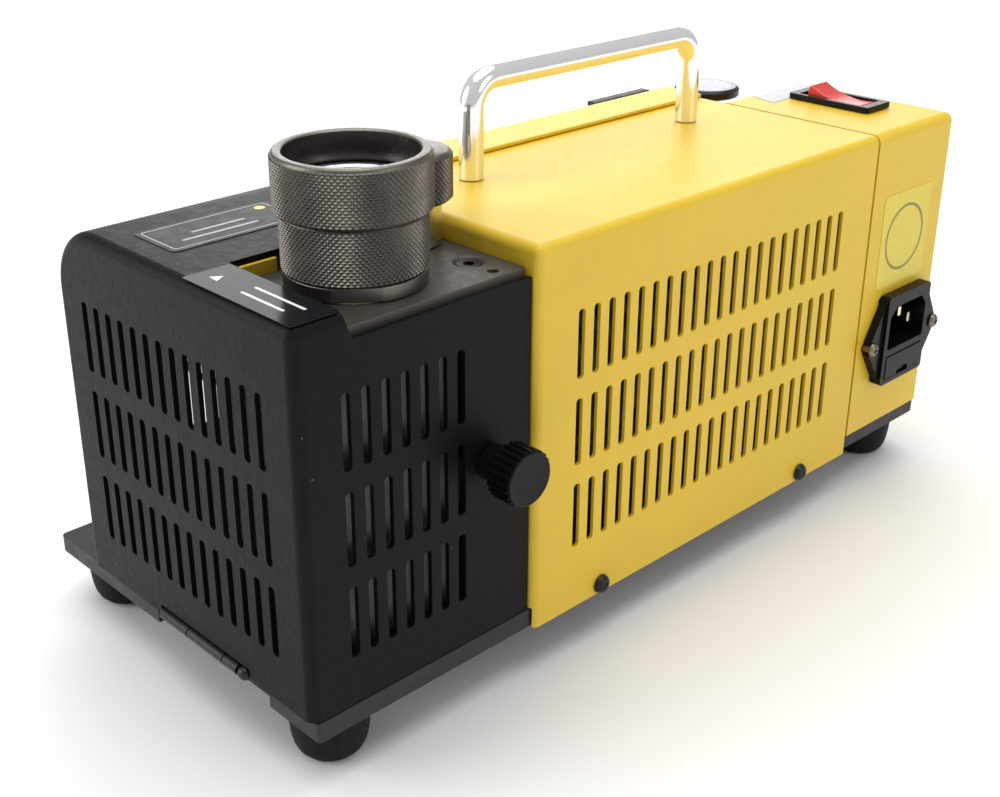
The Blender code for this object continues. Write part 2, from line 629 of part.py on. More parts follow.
def hinge():
    pivot = (HINGE_ALONG, 0, HINGE_UP)
    first, second, third, last = KNUCKLES
    clear = 0.2

    def knuckle(start, end):
        return rod("knuckle", (HINGE_ALONG, start, HINGE_UP), ACROSS, end - start, KNUCKLE_R, 16)

    moving = box("hinge_leaf_cover", (1.8, 3.0), (first, last), (3.4, 17.0))
    for start, end in ((first, second - clear), (third + clear, last)):
        join(moving, box("root", (1.2, 3.0), (start, end), (HINGE_UP, 3.2)),
             box("web", (1.8, 3.0), (start, end), (HINGE_UP, 5.0)), knuckle(start, end))
    cut(moving, rod("pin_way", (HINGE_ALONG, 0, HINGE_UP), ACROSS, 100, 1.3, 12))
    finish(moving, "black_screw", pivot)
    fixed = box("hinge_leaf_base", (4.4, 16.0), (first, last), (GAP, 1.5))
    join(fixed, box("root", (1.0, 6.0), (second + clear, third - clear), (GAP, 1.5)),
         knuckle(second + clear, third - clear))
    cut(fixed, rod("pin_way", (HINGE_ALONG, 0, HINGE_UP), ACROSS, 100, 1.3, 12))
    finish(fixed, "black_screw", pivot)
    pin = turned("hinge_pin", [(0.0, -4.4), (1.1, -4.1), (1.75, -3.4), (2.0, -2.3), (1.75, -1.2), (1.35, -0.3), (1.0, -0.3),
                                (1.0, 37.0), (0.0, 37.0)],
                 (HINGE_ALONG, first, HINGE_UP), ACROSS, 14)
    finish(pin, "black_screw", pivot)


def cover_lock():
    along, up = LOCK
    ribs = 20
    outline = []
    for step in range(2 * ribs):
        turn = math.pi * step / ribs
        radius = 8.1 if step % 2 else 7.6
        outline.append((radius * math.cos(turn), radius * math.sin(turn)))
    place = Matrix.Translation((along, -7.2, up)) @ Matrix.Rotation(math.pi / 2, 4, "X")
    knob = prism("lock_knob", outline, place, 7.4)
    join(knob, turned("cap", [(0.0, -15.3), (7.3, -15.3), (7.6, -15.0), (7.6, -12.0), (0.0, -12.0)],
                      (along, 0, up), ACROSS, 28))
    join(knob, turned("neck", [(0.0, -9.0), (5.2, -9.0), (5.2, -RUN), (0.0, -RUN)], (along, 0, up), ACROSS, 24))
    join(knob, rod("screw", (along, -4, up), ACROSS, 8.8, 2.4, 16))
    finish(knob, "black_plastic", (along, 0, up))
    bracket = box("lock_bracket", (54, MAIN_START - GAP), (2.6, 4.4), (44, 66))
    join(bracket, box("tab", (MAIN_START - GAP - 1.8, MAIN_START - GAP), (4.0, 16.0), (44, 66)))
    cut(bracket, rod("seat", (along, 0, up), ACROSS, 8, 3.0, 16))
    swing = math.atan2(along - HINGE_ALONG, up - HINGE_UP)
    way = box("way", (-4.2, 3.0), (0, 8), (0, 30))
    way.data.transform(Matrix.Translation((along, 0, up)) @ Matrix.Rotation(-(math.pi / 2 - swing), 4, "Y"))
    cut(bracket, way)
    finish(bracket, "grey_plate")


# ---------------------------------------------------------------- operator's side
def angle_station():
    along, across = ANGLE_PIVOT
    place = Matrix.Translation((along, across, 0)) @ Matrix.Rotation(-ANGLE_TILT, 4, "Z")
    base = box("angle_base", (45, 84), (110.6, 131.0), (GAP, 6.0))
    soften(base, 2.0, 2, lambda e: same(abs(e.verts[0].co.z - e.verts[1].co.z), 6.0 - GAP))
    slot = []
    near, far = ANGLE_CLAMP - 2.4, ANGLE_CLAMP + 2.4
    for radius, turns in ((far, range(-16, 9, 4)), (near, range(8, -17, -4))):
        for turn in turns:
            lean = ANGLE_TILT + math.radians(turn)
            slot.append((along + radius * math.sin(lean), across + radius * math.cos(lean)))
    cut(base, prism("slot", slot, Matrix.Translation((0, 0, -2)), 12))
    finish(base, "grey_plate")

    reach, height = ANGLE_REACH, 52.0
    holder = rod("angle_holder", (0, reach - 7, height), ACROSS, 14, 19.5, 40)
    join(holder, box("web", (-5, 5), (reach - 4.5, reach + 4.5), (8, 40)),
         box("foot", (-9, 9), (39, reach + 4.5), (6.3, 12.0)))
    cut(holder, rod("bore", (0, reach - 20, height), ACROSS, 40, CHUCK_BORE, 40),
        rod("clamp_hole", (0, ANGLE_CLAMP, 0), UP, 20, 2.4, 14))
    holder.data.transform(place)
    pivot = (along, across, 0)
    finish(holder, "grey_plate", pivot)

    grip = [(0.0, 3.0), (2.0, 3.0), (2.0, 12.5), (5.6, 12.5), (6.2, 13.2), (6.2, 19.4), (5.4, 20.4), (0.0, 20.4)]
    clamp = turned("angle_clamp", grip, (0, ANGLE_CLAMP, 0), UP, 20)
    clamp.data.transform(place)
    centre = place @ Vector((0, ANGLE_CLAMP, 0))
    finish(clamp, "black_plastic", centre)


def setting_gauge():
    along, up = GAUGE
    bracket = box("gauge_bracket", (206, 236), (95, 99), (GAP, 110.0))
    join(bracket, box("foot", (206, 236), (98, 122), (GAP, 5.0)))
    cut(bracket, rod("sight_hole", (along, 80, up), ACROSS, 30, 5.0, 24))
    finish(bracket, "grey_plate")
    socket = rod("gauge_socket", (along, 99.3, up), ACROSS, 16, 20.0, 40)
    cut(socket, rod("bore", (along, 90, up), ACROSS, 40, CHUCK_BORE, 40))
    finish(socket, "satin_steel")
    along, across = DIAL
    finish(turned("gauge_post", [(0.0, GAP), (9.0, GAP), (9.0, 4.0), (5.0, 6.0), (5.0, 103.2), (2.0, 103.2),
                                 (2.0, 105.6), (0.0, 105.6)], (along, across, 0), UP, 24), "bright_steel")
    dial = turned("gauge_dial", [(2.4, 103.6), (11.8, 103.6), (12.4, 104.2), (12.4, 106.4), (11.6, 107.2),
                                 (0.0, 107.2), (0.0, 106.0), (2.4, 106.0)], (along, across, 0), UP, 36)
    finish(dial, "satin_steel", (along, across, 0))


def build():
    clear_scene()
    base_plate()
    feet()
    main_cover()
    front_panel()
    rear_box()
    skirt_screws()
    wheel_guard()
    deck_plate()
    chuck_station()
    stop_post()
    carry_handle()
    power_switch()
    mains_inlet()
    motor()
    grinding_wheel()
    grinding_cover()
    hinge()
    cover_lock()
    angle_station()
    setting_gauge()


build()
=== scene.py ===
"""Looks of a bench drill bit sharpener, laid out as a Blender add-on.

Every piece is modelled in millimetres in the machine's bench frame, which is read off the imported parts:
along starts at the outer face of the grinding cover and runs to the mains inlet, across starts at the
long side with the cover lock and runs to the operator, and up starts on top of the base plate.
fit() brings a piece into the model frame, gives it its finish and hangs it on the body of the part that
it stands for.
"""

import json
import math

import bmesh
import bpy
from mathutils import Matrix, Vector


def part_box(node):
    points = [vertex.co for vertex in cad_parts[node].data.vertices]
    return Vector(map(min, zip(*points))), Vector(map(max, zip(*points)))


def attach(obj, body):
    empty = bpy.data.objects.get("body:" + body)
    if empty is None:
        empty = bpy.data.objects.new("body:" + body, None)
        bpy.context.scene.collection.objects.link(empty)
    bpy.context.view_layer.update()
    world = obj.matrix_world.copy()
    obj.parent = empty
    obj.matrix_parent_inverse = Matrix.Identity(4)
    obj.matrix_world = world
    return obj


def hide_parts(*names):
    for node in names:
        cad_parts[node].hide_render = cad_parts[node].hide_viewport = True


bl_info = {
    "name": "Drill Bit Sharpener",
    "version": (1, 0, 0),
    "blender": (4, 5, 0),
    "location": "View3D > Sidebar > Sharpener",
    "description": "Builds a bench drill bit sharpener piece by piece around its packed parts",
    "category": "Add Mesh",
}

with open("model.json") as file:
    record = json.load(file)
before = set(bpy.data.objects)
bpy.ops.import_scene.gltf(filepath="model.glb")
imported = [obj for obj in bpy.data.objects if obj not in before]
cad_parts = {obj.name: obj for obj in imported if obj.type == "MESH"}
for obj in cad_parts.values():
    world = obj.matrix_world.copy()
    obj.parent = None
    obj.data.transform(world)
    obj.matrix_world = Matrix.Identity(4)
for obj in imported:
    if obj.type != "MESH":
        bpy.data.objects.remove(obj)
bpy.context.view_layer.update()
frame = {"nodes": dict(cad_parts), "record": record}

ALONG, ACROSS, UP = Vector((1, 0, 0)), Vector((0, 1, 0)), Vector((0, 0, 1))
MM = 0.001

# Bench millimetres.
VENT_ROWS = (25.1, 52.0, 78.8)  # middle of each row of slots, up
OPENING_START, OPENING_FAR, WALL_TOP = 15.8, 46.8, 102.3  # cut-out of the grinding cover for the deck
CHUCK_BORE = 16.9  # radius that takes the drill chuck, the same in every station
LABEL_SINK = 0.02  # how far a label plate starts below the surface that it sits on
LABEL_THICK, BOX_LABEL_THICK = 0.22, 0.2
PRINT_START, PRINT_THICK = 0.19, 0.05  # printed lines start inside the plate and stand just clear of it
SMALLEST_BEND = 0.02
FAR_SIDE_SHARE = 0.02  # how much of a rounded end's inset the main cover's far side takes

FEET = ("near_grinding", "near_rear", "far_grinding", "far_rear")
PINS = ("inlet_pin_earth", "inlet_pin_line", "inlet_pin_neutral")
PAIR = (1, 2)  # numbers of the paired screws

# name, place in metres, diameter in metres, watts, colour
LIGHTS = (
    ("overhead", (-0.2, -0.2, 3.5), 4.0, 110.0, (1.0, 0.99, 0.97)),
    ("grinding_end", (1.5, -1.0, 0.8), 1.4, 16.0, (1.0, 1.0, 1.0)),
    ("lock_side", (-0.4, 1.8, 0.9), 1.0, 5.0, (1.0, 0.99, 0.97)),
    ("backdrop", (-2.2, -2.2, 1.0), 2.4, 29.0, (1.0, 1.0, 1.0)),
)
LIGHTS_AIM = (0, 0, 0.06)
SKY_STRENGTH = 0.5


def bench_frame():
    """The matrix from bench millimetres to the model's metres."""
    cover_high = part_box("grinding_cover")[1]
    plate_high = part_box("base_plate")[1]
    corner = Matrix.Translation((cover_high.x, cover_high.y, plate_high.z))
    return corner @ Matrix.Rotation(math.pi, 4, "Z") @ Matrix.Scale(MM, 4)


TO_MODEL = bench_frame()
TO_BENCH = TO_MODEL.inverted()
RECORD = frame["record"]
BODY_OF = {node: body for body, nodes in RECORD["behaviour"]["bodies"].items() for node in nodes}


def span(node):
    """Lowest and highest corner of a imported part, in bench millimetres."""
    corners = [TO_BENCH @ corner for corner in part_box(node)]
    return Vector(map(min, *corners)), Vector(map(max, *corners))


def middle(node):
    low, high = span(node)
    return (low + high) / 2


# ---------------------------------------------------------------- sizes and colours a user may change
class SheetSizes(bpy.types.PropertyGroup):
    """Folded steel and its vents."""

    thickness: bpy.props.FloatProperty(
        name="Sheet", description="Thickness of the folded covers", default=0.0015, unit="LENGTH")
    near_bend: bpy.props.FloatProperty(
        name="Tight bend", description="Outer radius of the ordinary bends", default=0.0033, unit="LENGTH")
    far_bend: bpy.props.FloatProperty(
        name="Wide bend", description="Outer radius over the operator's side of the cover", default=0.019,
        unit="LENGTH")
    vent_pitch: bpy.props.FloatProperty(
        name="Vent pitch", description="From one slot to the next", default=0.0062, unit="LENGTH")
    vent_width: bpy.props.FloatProperty(
        name="Vent width", description="Width of a slot", default=0.0027, unit="LENGTH")
    vent_length: bpy.props.FloatProperty(
        name="Vent length", description="Length of a slot", default=0.0208, unit="LENGTH")


class GripSizes(bpy.types.PropertyGroup):
    """Knurls and ribs."""

    knurl_pitch: bpy.props.FloatProperty(
        name="Knurl pitch", description="Across one diamond of the knurl", default=0.0015, unit="LENGTH")
    knurl_depth: bpy.props.FloatProperty(
        name="Knurl depth", description="Depth of the knurl's grooves", default=0.00042, unit="LENGTH")
    knob_ribs: bpy.props.IntProperty(
        name="Knob ribs", description="Ribs round the cover lock knob", default=24, min=8, max=60)


class CoatColours(bpy.types.PropertyGroup):
    """Colours of the painted and moulded surfaces, linear."""

    yellow: bpy.props.FloatVectorProperty(
        name="Yellow coat", description="Main cover, front panel and rear box", default=(0.74, 0.50, 0.030),
        size=3, subtype="COLOR", min=0.0, max=1.0)
    black: bpy.props.FloatVectorProperty(
        name="Black coat", description="Grinding cover", default=(0.0050, 0.0050, 0.0056),
        size=3, subtype="COLOR", min=0.0, max=1.0)
    grey: bpy.props.FloatVectorProperty(
        name="Grey coat", description="Base plate and brackets", default=(0.017, 0.0155, 0.0165),
        size=3, subtype="COLOR", min=0.0, max=1.0)
    red: bpy.props.FloatVectorProperty(
        name="Rocker red", description="Rocker of the power switch", default=(0.62, 0.016, 0.010),
        size=3, subtype="COLOR", min=0.0, max=1.0)


class StageSettings(bpy.types.PropertyGroup):
    """Camera, light and floor."""

    lens: bpy.props.FloatProperty(
        name="Lens", description="Focal length in millimetres on a 36 mm sensor", default=51.126)
    camera_place: bpy.props.FloatVectorProperty(
        name="Camera", description="Place of the camera", default=(0.31319, 0.30717, 0.25234), size=3,
        subtype="TRANSLATION", unit="LENGTH")
    camera_turn: bpy.props.FloatVectorProperty(
        name="Camera angle", description="Rotation of the camera",
        default=(math.radians(65.745), math.radians(-0.207), math.radians(135.915)), size=3,
        subtype="EULER", unit="ROTATION")
    shift: bpy.props.FloatVectorProperty(
        name="Shift", description="Lens shift as a share of the frame's width", default=(0.00576, -0.02688), size=2)
    floor: bpy.props.FloatVectorProperty(
        name="Floor", description="Colour of the floor", default=(0.86, 0.86, 0.86), size=3, subtype="COLOR")
    light_share: bpy.props.FloatProperty(
        name="Light", description="Multiplies the power of every light", default=1.0)


GROUPS = {
    "sharpener_sheet": SheetSizes,
    "sharpener_grip": GripSizes,
    "sharpener_coat": CoatColours,
    "sharpener_stage": StageSettings,
}


# ---------------------------------------------------------------- shapes
def mesh_object(name, bm):
    """A linked object from a bmesh, with its faces turned outwards."""
    bmesh.ops.recalc_face_normals(bm, faces=bm.faces[:])
    mesh = bpy.data.meshes.new(name)
    bm.to_mesh(mesh)
    bm.free()
    made = bpy.data.objects.new(name, mesh)
    bpy.context.scene.collection.objects.link(made)
    return made


def facing(axis):
    """Turns the local Z to an axis."""
    return axis.to_track_quat("Z", "Y").to_matrix().to_4x4()


def at(along, across, up):
    """A place whose local X, Y and Z are along, across and up."""
    return Matrix.Translation((along, across, up))


def on_wall(along, across, up):
    """A place whose outline stands upright, with local Z pointing out of the near side."""
    return at(along, across, up) @ Matrix.Rotation(math.pi / 2, 4, "X")


def on_end(along):
    """A place whose outline is given as (across, up), with local Z pointing along the machine."""
    return Matrix(((0, 0, 1, along), (1, 0, 0, 0), (0, 1, 0, 0), (0, 0, 0, 1)))


def arc(centre, radius, start, end, steps):
    """Points along an arc from one angle to another, in degrees."""
    turns = [math.radians(start + (end - start) * step / steps) for step in range(steps + 1)]
    return [(centre[0] + radius * math.cos(turn), centre[1] + radius * math.sin(turn)) for turn in turns]


def rounded_outline(wide, high, radius, steps=6):
    """A rectangle with round corners, about its own middle."""
    x, y = wide / 2 - radius, high / 2 - radius
    corners = ((x, -y, -90), (x, y, 0), (-x, y, 90), (-x, -y, 180))
    return [point for cx, cy, turn in corners for point in arc((cx, cy), radius, turn, turn + 90, steps)]


def filleted(points, radius, steps=4):
    """Rounds every corner of a closed outline by the radius, or less where the sides are short."""
    result = []
    count = len(points)
    for i, (x, y) in enumerate(points):
        here = Vector((x, y))
        before = Vector(points[i - 1]) - here
        after = Vector(points[(i + 1) % count]) - here
        half = before.angle(after) / 2
        back = min(radius / math.tan(half), before.length * 0.45, after.length * 0.45)
        size = back * math.tan(half)
        centre = here + (before.normalized() + after.normalized()).normalized() * (size / math.sin(half))
        first = here + before.normalized() * back - centre
        last = here + after.normalized() * back - centre
        for step in range(steps + 1):
            result.append(tuple(centre + first.slerp(last, step / steps)))
    return result


def slab(name, outline, place, depth):
    """An outline extruded by depth along the local Z of place."""
    bm = bmesh.new()
    low = [bm.verts.new(place @ Vector((x, y, 0.0))) for x, y in outline]
    high = [bm.verts.new(place @ Vector((x, y, depth))) for x, y in outline]
    bm.faces.new(low)
    bm.faces.new(high)
    for i in range(len(outline)):
        j = (i + 1) % len(outline)
        bm.faces.new((low[i], low[j], high[j], high[i]))
    return mesh_object(name, bm)


def block(name, low, high):
    """A rectangular cutter or blank between two corners."""
    outline = [(low[0], low[1]), (high[0], low[1]), (high[0], high[1]), (low[0], high[1])]
    return slab(name, outline, at(0, 0, low[2]), high[2] - low[2])


def revolve(name, rows, centre, axis=UP, segments=96):
    """A turned body. A row is (radius, height), or (groove radius, height, crest radius, parity) in a knurl."""
    bm = bmesh.new()
    place = Matrix.Translation(centre) @ facing(axis)
    rings = []
    for row in rows:
        ring = []
        for step in range(segments):
            radius = row[0]
            if len(row) == 4 and (step + row[3]) % 2:
                radius = row[2]
            turn = 2 * math.pi * step / segments
            ring.append(bm.verts.new(place @ Vector((radius * math.cos(turn), radius * math.sin(turn), row[1]))))
        rings.append(ring)
    for i, row in enumerate(rows):
        following = rows[(i + 1) % len(rows)]
        ring, after = rings[i], rings[(i + 1) % len(rows)]
        knurled = len(row) == 4 and len(following) == 4
        for step in range(segments):
            a, b = ring[step], ring[(step + 1) % segments]
            d, c = after[step], after[(step + 1) % segments]
            if not knurled:
                bm.faces.new((a, b, c, d))
            elif (step + row[3]) % 2 == 0:
                bm.faces.new((a, b, c))
                bm.faces.new((a, c, d))
            else:
                bm.faces.new((a, b, d))
                bm.faces.new((b, c, d))
    bmesh.ops.remove_doubles(bm, verts=bm.verts[:], dist=1e-5)
    return mesh_object(name, bm)


def knurl_rows(radius, low, high):
    """Rows of a diamond knurl between two heights."""
    sizes = bpy.context.scene.sharpener_grip
    half = sizes.knurl_pitch / MM / 2
    count = round((high - low) / half)
    groove = radius - sizes.knurl_depth / MM
    return [(groove, low + (high - low) * j / count, radius, j % 2) for j in range(count + 1)]


def knurl_segments(radius):
    return 2 * round(2 * math.pi * radius / (bpy.context.scene.sharpener_grip.knurl_pitch / MM))


def rod(name, start, axis, length, radius, segments=48):
    return revolve(name, [(0.0, 0.0), (radius, 0.0), (radius, length), (0.0, length)], Vector(start), axis, segments)


def bent_bar(name, points, radius, segments=32):
    """A round bar along points that lie in one plane of constant across."""
    bm = bmesh.new()
    rings = []
    for i, point in enumerate(points):
        heading = (points[min(i + 1, len(points) - 1)] - points[max(i - 1, 0)]).normalized()
        outward = heading.cross(ACROSS)
        turns = [2 * math.pi * step / segments for step in range(segments)]
        rings.append([bm.verts.new(point + radius * (math.cos(turn) * outward + math.sin(turn) * ACROSS))
                      for turn in turns])
    for ring, after in zip(rings, rings[1:]):
        for i in range(segments):
            j = (i + 1) % segments
            bm.faces.new((ring[i], ring[j], after[j], after[i]))
    bm.faces.new(rings[0])
    bm.faces.new(rings[-1])
    return mesh_object(name, bm)


def combine(target, others, operation):
    for other in others:
        step = target.modifiers.new("step", "BOOLEAN")
        step.operation = operation
        step.solver = "EXACT"
        step.object = other
        graph = bpy.context.evaluated_depsgraph_get()
        result = bpy.data.meshes.new_from_object(target.evaluated_get(graph))
        target.modifiers.clear()
        target.data = result
        bpy.data.objects.remove(other, do_unlink=True)
    return target


def cut(target, *others):
    return combine(target, others, "DIFFERENCE")


def join(target, *others):
    return combine(target, others, "UNION")


def merged(name, items):
    """Several shells kept as one piece, without a Boolean."""
    bm = bmesh.new()
    for item in items:
        bm.from_mesh(item.data)
        bpy.data.objects.remove(item, do_unlink=True)
    return mesh_object(name, bm)


# ---------------------------------------------------------------- fitting a piece
def shade(item, angle=35):
    item.data.shade_smooth()
    item.data.set_sharp_from_angle(angle=math.radians(angle))


def ease(item, width, segments=2, angle=40):
    """Breaks the sharp edges by a width in millimetres and keeps flat faces flat."""
    bevel = item.modifiers.new("broken_edges", "BEVEL")
    bevel.width = width * MM
    bevel.segments = segments
    bevel.limit_method = "ANGLE"
    bevel.angle_limit = math.radians(angle)
    bevel.use_clamp_overlap = True
    bevel.miter_outer = "MITER_ARC"
    weight = item.modifiers.new("flat_faces", "WEIGHTED_NORMAL")
    weight.keep_sharp = True
    return item


def hang(item, node, finish):
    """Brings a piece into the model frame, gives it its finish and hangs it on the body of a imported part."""
    item.data.transform(TO_MODEL)
    shade(item)
    if not item.data.materials:
        item.data.materials.append(look(finish))
    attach(item, BODY_OF[node])
    return item


def fit(item, node, finish, edge=0.0, segments=2):
    """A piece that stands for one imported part."""
    hang(item, node, finish)
    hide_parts(node)
    if edge:
        ease(item, edge, segments)
    return item


def refined(node, finish, edge=0.25):
    """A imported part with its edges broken: its mesh is copied and its flat faces are merged first."""
    bm = bmesh.new()
    bm.from_mesh(frame["nodes"][node].data)
    bmesh.ops.remove_doubles(bm, verts=bm.verts[:], dist=1e-6)
    bmesh.ops.dissolve_limit(bm, angle_limit=math.radians(0.5), verts=bm.verts[:], edges=bm.edges[:])
    item = mesh_object("finished_" + node, bm)
    shade(item)
    item.data.materials.append(look(finish))
    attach(item, BODY_OF[node])
    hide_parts(node)
    if edge:
        ease(item, edge, 2)
    return item


# ---------------------------------------------------------------- finishes
class Finish:
    """A Principled material with helpers for grain, blotches and speckles sized in millimetres."""

    def __init__(self, name, colour, roughness, metallic=0.0, **sockets):
        self.material = bpy.data.materials.new(name)
        self.material.use_nodes = True
        self.tree = self.material.node_tree
        self.shader = self.tree.nodes["Principled BSDF"]
        self.colour = colour
        self.shader.inputs["Base Color"].default_value = (*colour, 1.0)
        self.shader.inputs["Roughness"].default_value = roughness
        self.shader.inputs["Metallic"].default_value = metallic
        for socket, value in sockets.items():
            self.shader.inputs[socket.replace("_", " ")].default_value = value
        self.coordinates = self.tree.nodes.new("ShaderNodeTexCoord")
        self.painted = None
        self.height = None

    def node(self, kind, inputs=None, **settings):
        made = self.tree.nodes.new(kind)
        for key, value in settings.items():
            setattr(made, key, value)
        for key, value in (inputs or {}).items():
            if isinstance(value, bpy.types.NodeSocket):
                self.tree.links.new(value, made.inputs[key])
            else:
                made.inputs[key].default_value = value
        return made

    def noise(self, size, detail=2.0, stretch=(1, 1, 1), roughness=0.5):
        """Noise with features of a size in millimetres, drawn out along the axes with a stretch over 1."""
        scale = [1.0 / (size * MM * s) for s in stretch]
        place = self.node("ShaderNodeMapping", {"Vector": self.coordinates.outputs["Object"], "Scale": scale})
        made = self.node("ShaderNodeTexNoise", {"Vector": place.outputs["Vector"], "Scale": 1.0,
                                                "Detail": detail, "Roughness": roughness})
        return made.outputs["Fac"]

    def span(self, value, low, high, to_low, to_high):
        made = self.node("ShaderNodeMapRange", {"Value": value, "From Min": low, "From Max": high,
                                                "To Min": to_low, "To Max": to_high}, clamp=True)
        return made.outputs["Result"]

    def mix(self, factor, first, second):
        made = self.node("ShaderNodeMix", {"Factor": factor}, data_type="RGBA")
        for socket, value in ((made.inputs[6], first), (made.inputs[7], second)):
            if isinstance(value, bpy.types.NodeSocket):
                self.tree.links.new(value, socket)
            else:
                socket.default_value = (*value, 1.0)
        return made.outputs[2]

    def tint(self, size, darker, lighter, detail=3.0, stretch=(1, 1, 1)):
        """Lets the colour drift between a darker and a lighter share of itself."""
        low = tuple(c * darker for c in self.colour)
        high = tuple(min(c * lighter, 1.0) for c in self.colour)
        factor = self.span(self.noise(size, detail, stretch), 0.3, 0.7, 0.0, 1.0)
        self.paint(self.mix(factor, low, high))
        return self

    def paint(self, socket):
        self.tree.links.new(socket, self.shader.inputs["Base Color"])
        self.painted = socket

    def speckle(self, size, share, colour):
        """Scattered small grains of another colour."""
        cells = self.node("ShaderNodeTexVoronoi", {"Vector": self.coordinates.outputs["Object"],
                                                   "Scale": 1.0 / (size * MM)})
        dot = self.span(cells.outputs["Distance"], 0.10, 0.16, 1.0, 0.0)
        chosen = self.span(self.node("ShaderNodeSeparateColor", {"Color": cells.outputs["Color"]}).outputs[0],
                           share, share + 0.01, 1.0, 0.0)
        both = self.node("ShaderNodeMath", {0: dot, 1: chosen}, operation="MULTIPLY").outputs[0]
        base = self.painted or self.colour
        self.paint(self.mix(both, base, colour))
        return self

    def gloss(self, size, low, high, detail=3.0, stretch=(1, 1, 1)):
        """Lets the roughness drift between two values."""
        value = self.span(self.noise(size, detail, stretch), 0.3, 0.7, low, high)
        self.tree.links.new(value, self.shader.inputs["Roughness"])
        return self

    def grain(self, size, height, detail=2.0, stretch=(1, 1, 1), roughness=0.5):
        """Raises and lowers the surface by a height in millimetres."""
        bump = self.node("ShaderNodeBump", {"Height": self.noise(size, detail, stretch, roughness),
                                            "Strength": 1.0, "Distance": height * MM})
        if self.height:
            self.tree.links.new(self.height, bump.inputs["Normal"])
        self.height = bump.outputs["Normal"]
        self.tree.links.new(self.height, self.shader.inputs["Normal"])
        return self


def yellow_coat():
    colour = tuple(bpy.context.scene.sharpener_coat.yellow)
    made = Finish("yellow_coat", colour, 0.42, Specular_IOR_Level=0.45)
    return made.tint(45.0, 0.97, 1.03).gloss(2.0, 0.36, 0.48).grain(0.55, 0.045, 3.0).grain(2.2, 0.07, 1.0)


def black_coat():
    colour = tuple(bpy.context.scene.sharpener_coat.black)
    made = Finish("black_coat", colour, 0.42, Specular_IOR_Level=0.11)
    made.tint(30.0, 0.93, 1.08).gloss(3.0, 0.38, 0.46).grain(0.9, 0.09, 3.0).grain(2.4, 0.07, 1.0)
    return made.speckle(2.2, 0.012, (0.10, 0.10, 0.095))


def grey_coat():
    colour = tuple(bpy.context.scene.sharpener_coat.grey)
    made = Finish("grey_coat", colour, 0.5, Specular_IOR_Level=0.4)
    return made.tint(20.0, 0.9, 1.12).gloss(4.0, 0.42, 0.56).grain(0.5, 0.03, 3.0)


def deck_coat():
    made = Finish("deck_coat", (0.066, 0.059, 0.052), 0.42, 0.2, Specular_IOR_Level=0.35)
    return made.tint(14.0, 0.9, 1.12).gloss(3.0, 0.36, 0.5).grain(0.35, 0.018, 3.0)


def knurled_steel():
    made = Finish("knurled_steel", (0.165, 0.150, 0.134), 0.36, 1.0)
    return made.tint(5.0, 0.9, 1.12).gloss(1.2, 0.30, 0.42).grain(0.25, 0.012, 3.0)


def turned_steel():
    made = Finish("turned_steel", (0.62, 0.61, 0.59), 0.22, 1.0)
    return made.tint(4.0, 0.96, 1.04).gloss(2.0, 0.18, 0.26)


def bright_rim():
    made = Finish("bright_rim", (0.62, 0.60, 0.66), 0.30, 1.0)
    return made.gloss(1.5, 0.24, 0.36).grain(0.2, 0.006, 2.0)


def polished_chrome():
    made = Finish("polished_chrome", (0.95, 0.95, 0.96), 0.12, 0.82)
    return made.gloss(9.0, 0.10, 0.14).grain(6.0, 0.008, 1.0)


def foot_rubber():
    made = Finish("foot_rubber", (0.005, 0.005, 0.0055), 0.45, Specular_IOR_Level=0.18)
    return made.tint(6.0, 0.85, 1.25).gloss(2.0, 0.55, 0.7).grain(0.5, 0.02, 3.0)


def moulded_black():
    made = Finish("moulded_black", (0.0045, 0.0045, 0.0055), 0.28, Specular_IOR_Level=0.16)
    return made.tint(8.0, 0.85, 1.2).gloss(1.5, 0.24, 0.34).grain(0.35, 0.012, 2.0)


def moulded_red():
    colour = tuple(bpy.context.scene.sharpener_coat.red)
    made = Finish("moulded_red", colour, 0.28, Specular_IOR_Level=0.5, Coat_Weight=0.25, Coat_Roughness=0.2)
    return made.tint(6.0, 0.92, 1.05).gloss(2.0, 0.24, 0.34).grain(0.6, 0.008, 1.0)


def cast_alloy():
    made = Finish("cast_alloy", (0.30, 0.30, 0.30), 0.48, 0.6)
    return made.tint(10.0, 0.88, 1.1).gloss(2.0, 0.42, 0.56).grain(0.7, 0.04, 3.0)


def motor_enamel():
    made = Finish("motor_enamel", (0.06, 0.065, 0.075), 0.48)
    return made.tint(12.0, 0.9, 1.15).grain(0.8, 0.03, 3.0)


def grit():
    made = Finish("grit", (0.34, 0.33, 0.31), 0.85)
    made.tint(1.0, 0.7, 1.25, 6.0).grain(0.35, 0.12, 4.0, roughness=0.8)
    return made.speckle(0.9, 0.35, (0.62, 0.60, 0.56))


def wheel_body():
    made = Finish("wheel_body", (0.55, 0.55, 0.56), 0.32, 1.0)
    return made.gloss(2.0, 0.26, 0.4).grain(0.15, 0.006, 2.0, (1, 8, 8))


def pin_brass():
    made = Finish("pin_brass", (0.75, 0.68, 0.52), 0.22, 1.0)
    return made.tint(3.0, 0.9, 1.1).gloss(2.0, 0.18, 0.3)


def zinc():
    made = Finish("zinc", (0.62, 0.60, 0.55), 0.28, 1.0)
    return made.tint(2.0, 0.9, 1.1).gloss(1.0, 0.22, 0.36)


# Dull zinc, kept dark as painted shade: it stands for the shade on the wheel guard's walls inside the grinding
# cover.
def zinc_painted_shade():
    made = Finish("zinc_painted_shade", (0.15, 0.15, 0.155), 0.45, 0.9)
    return made.tint(7.0, 0.88, 1.12).gloss(4.0, 0.35, 0.55).grain(0.6, 0.015, 2.0)


def bronze():
    made = Finish("bronze", (0.22, 0.19, 0.15), 0.35, 1.0)
    return made.tint(1.5, 0.85, 1.15).gloss(1.0, 0.3, 0.42)


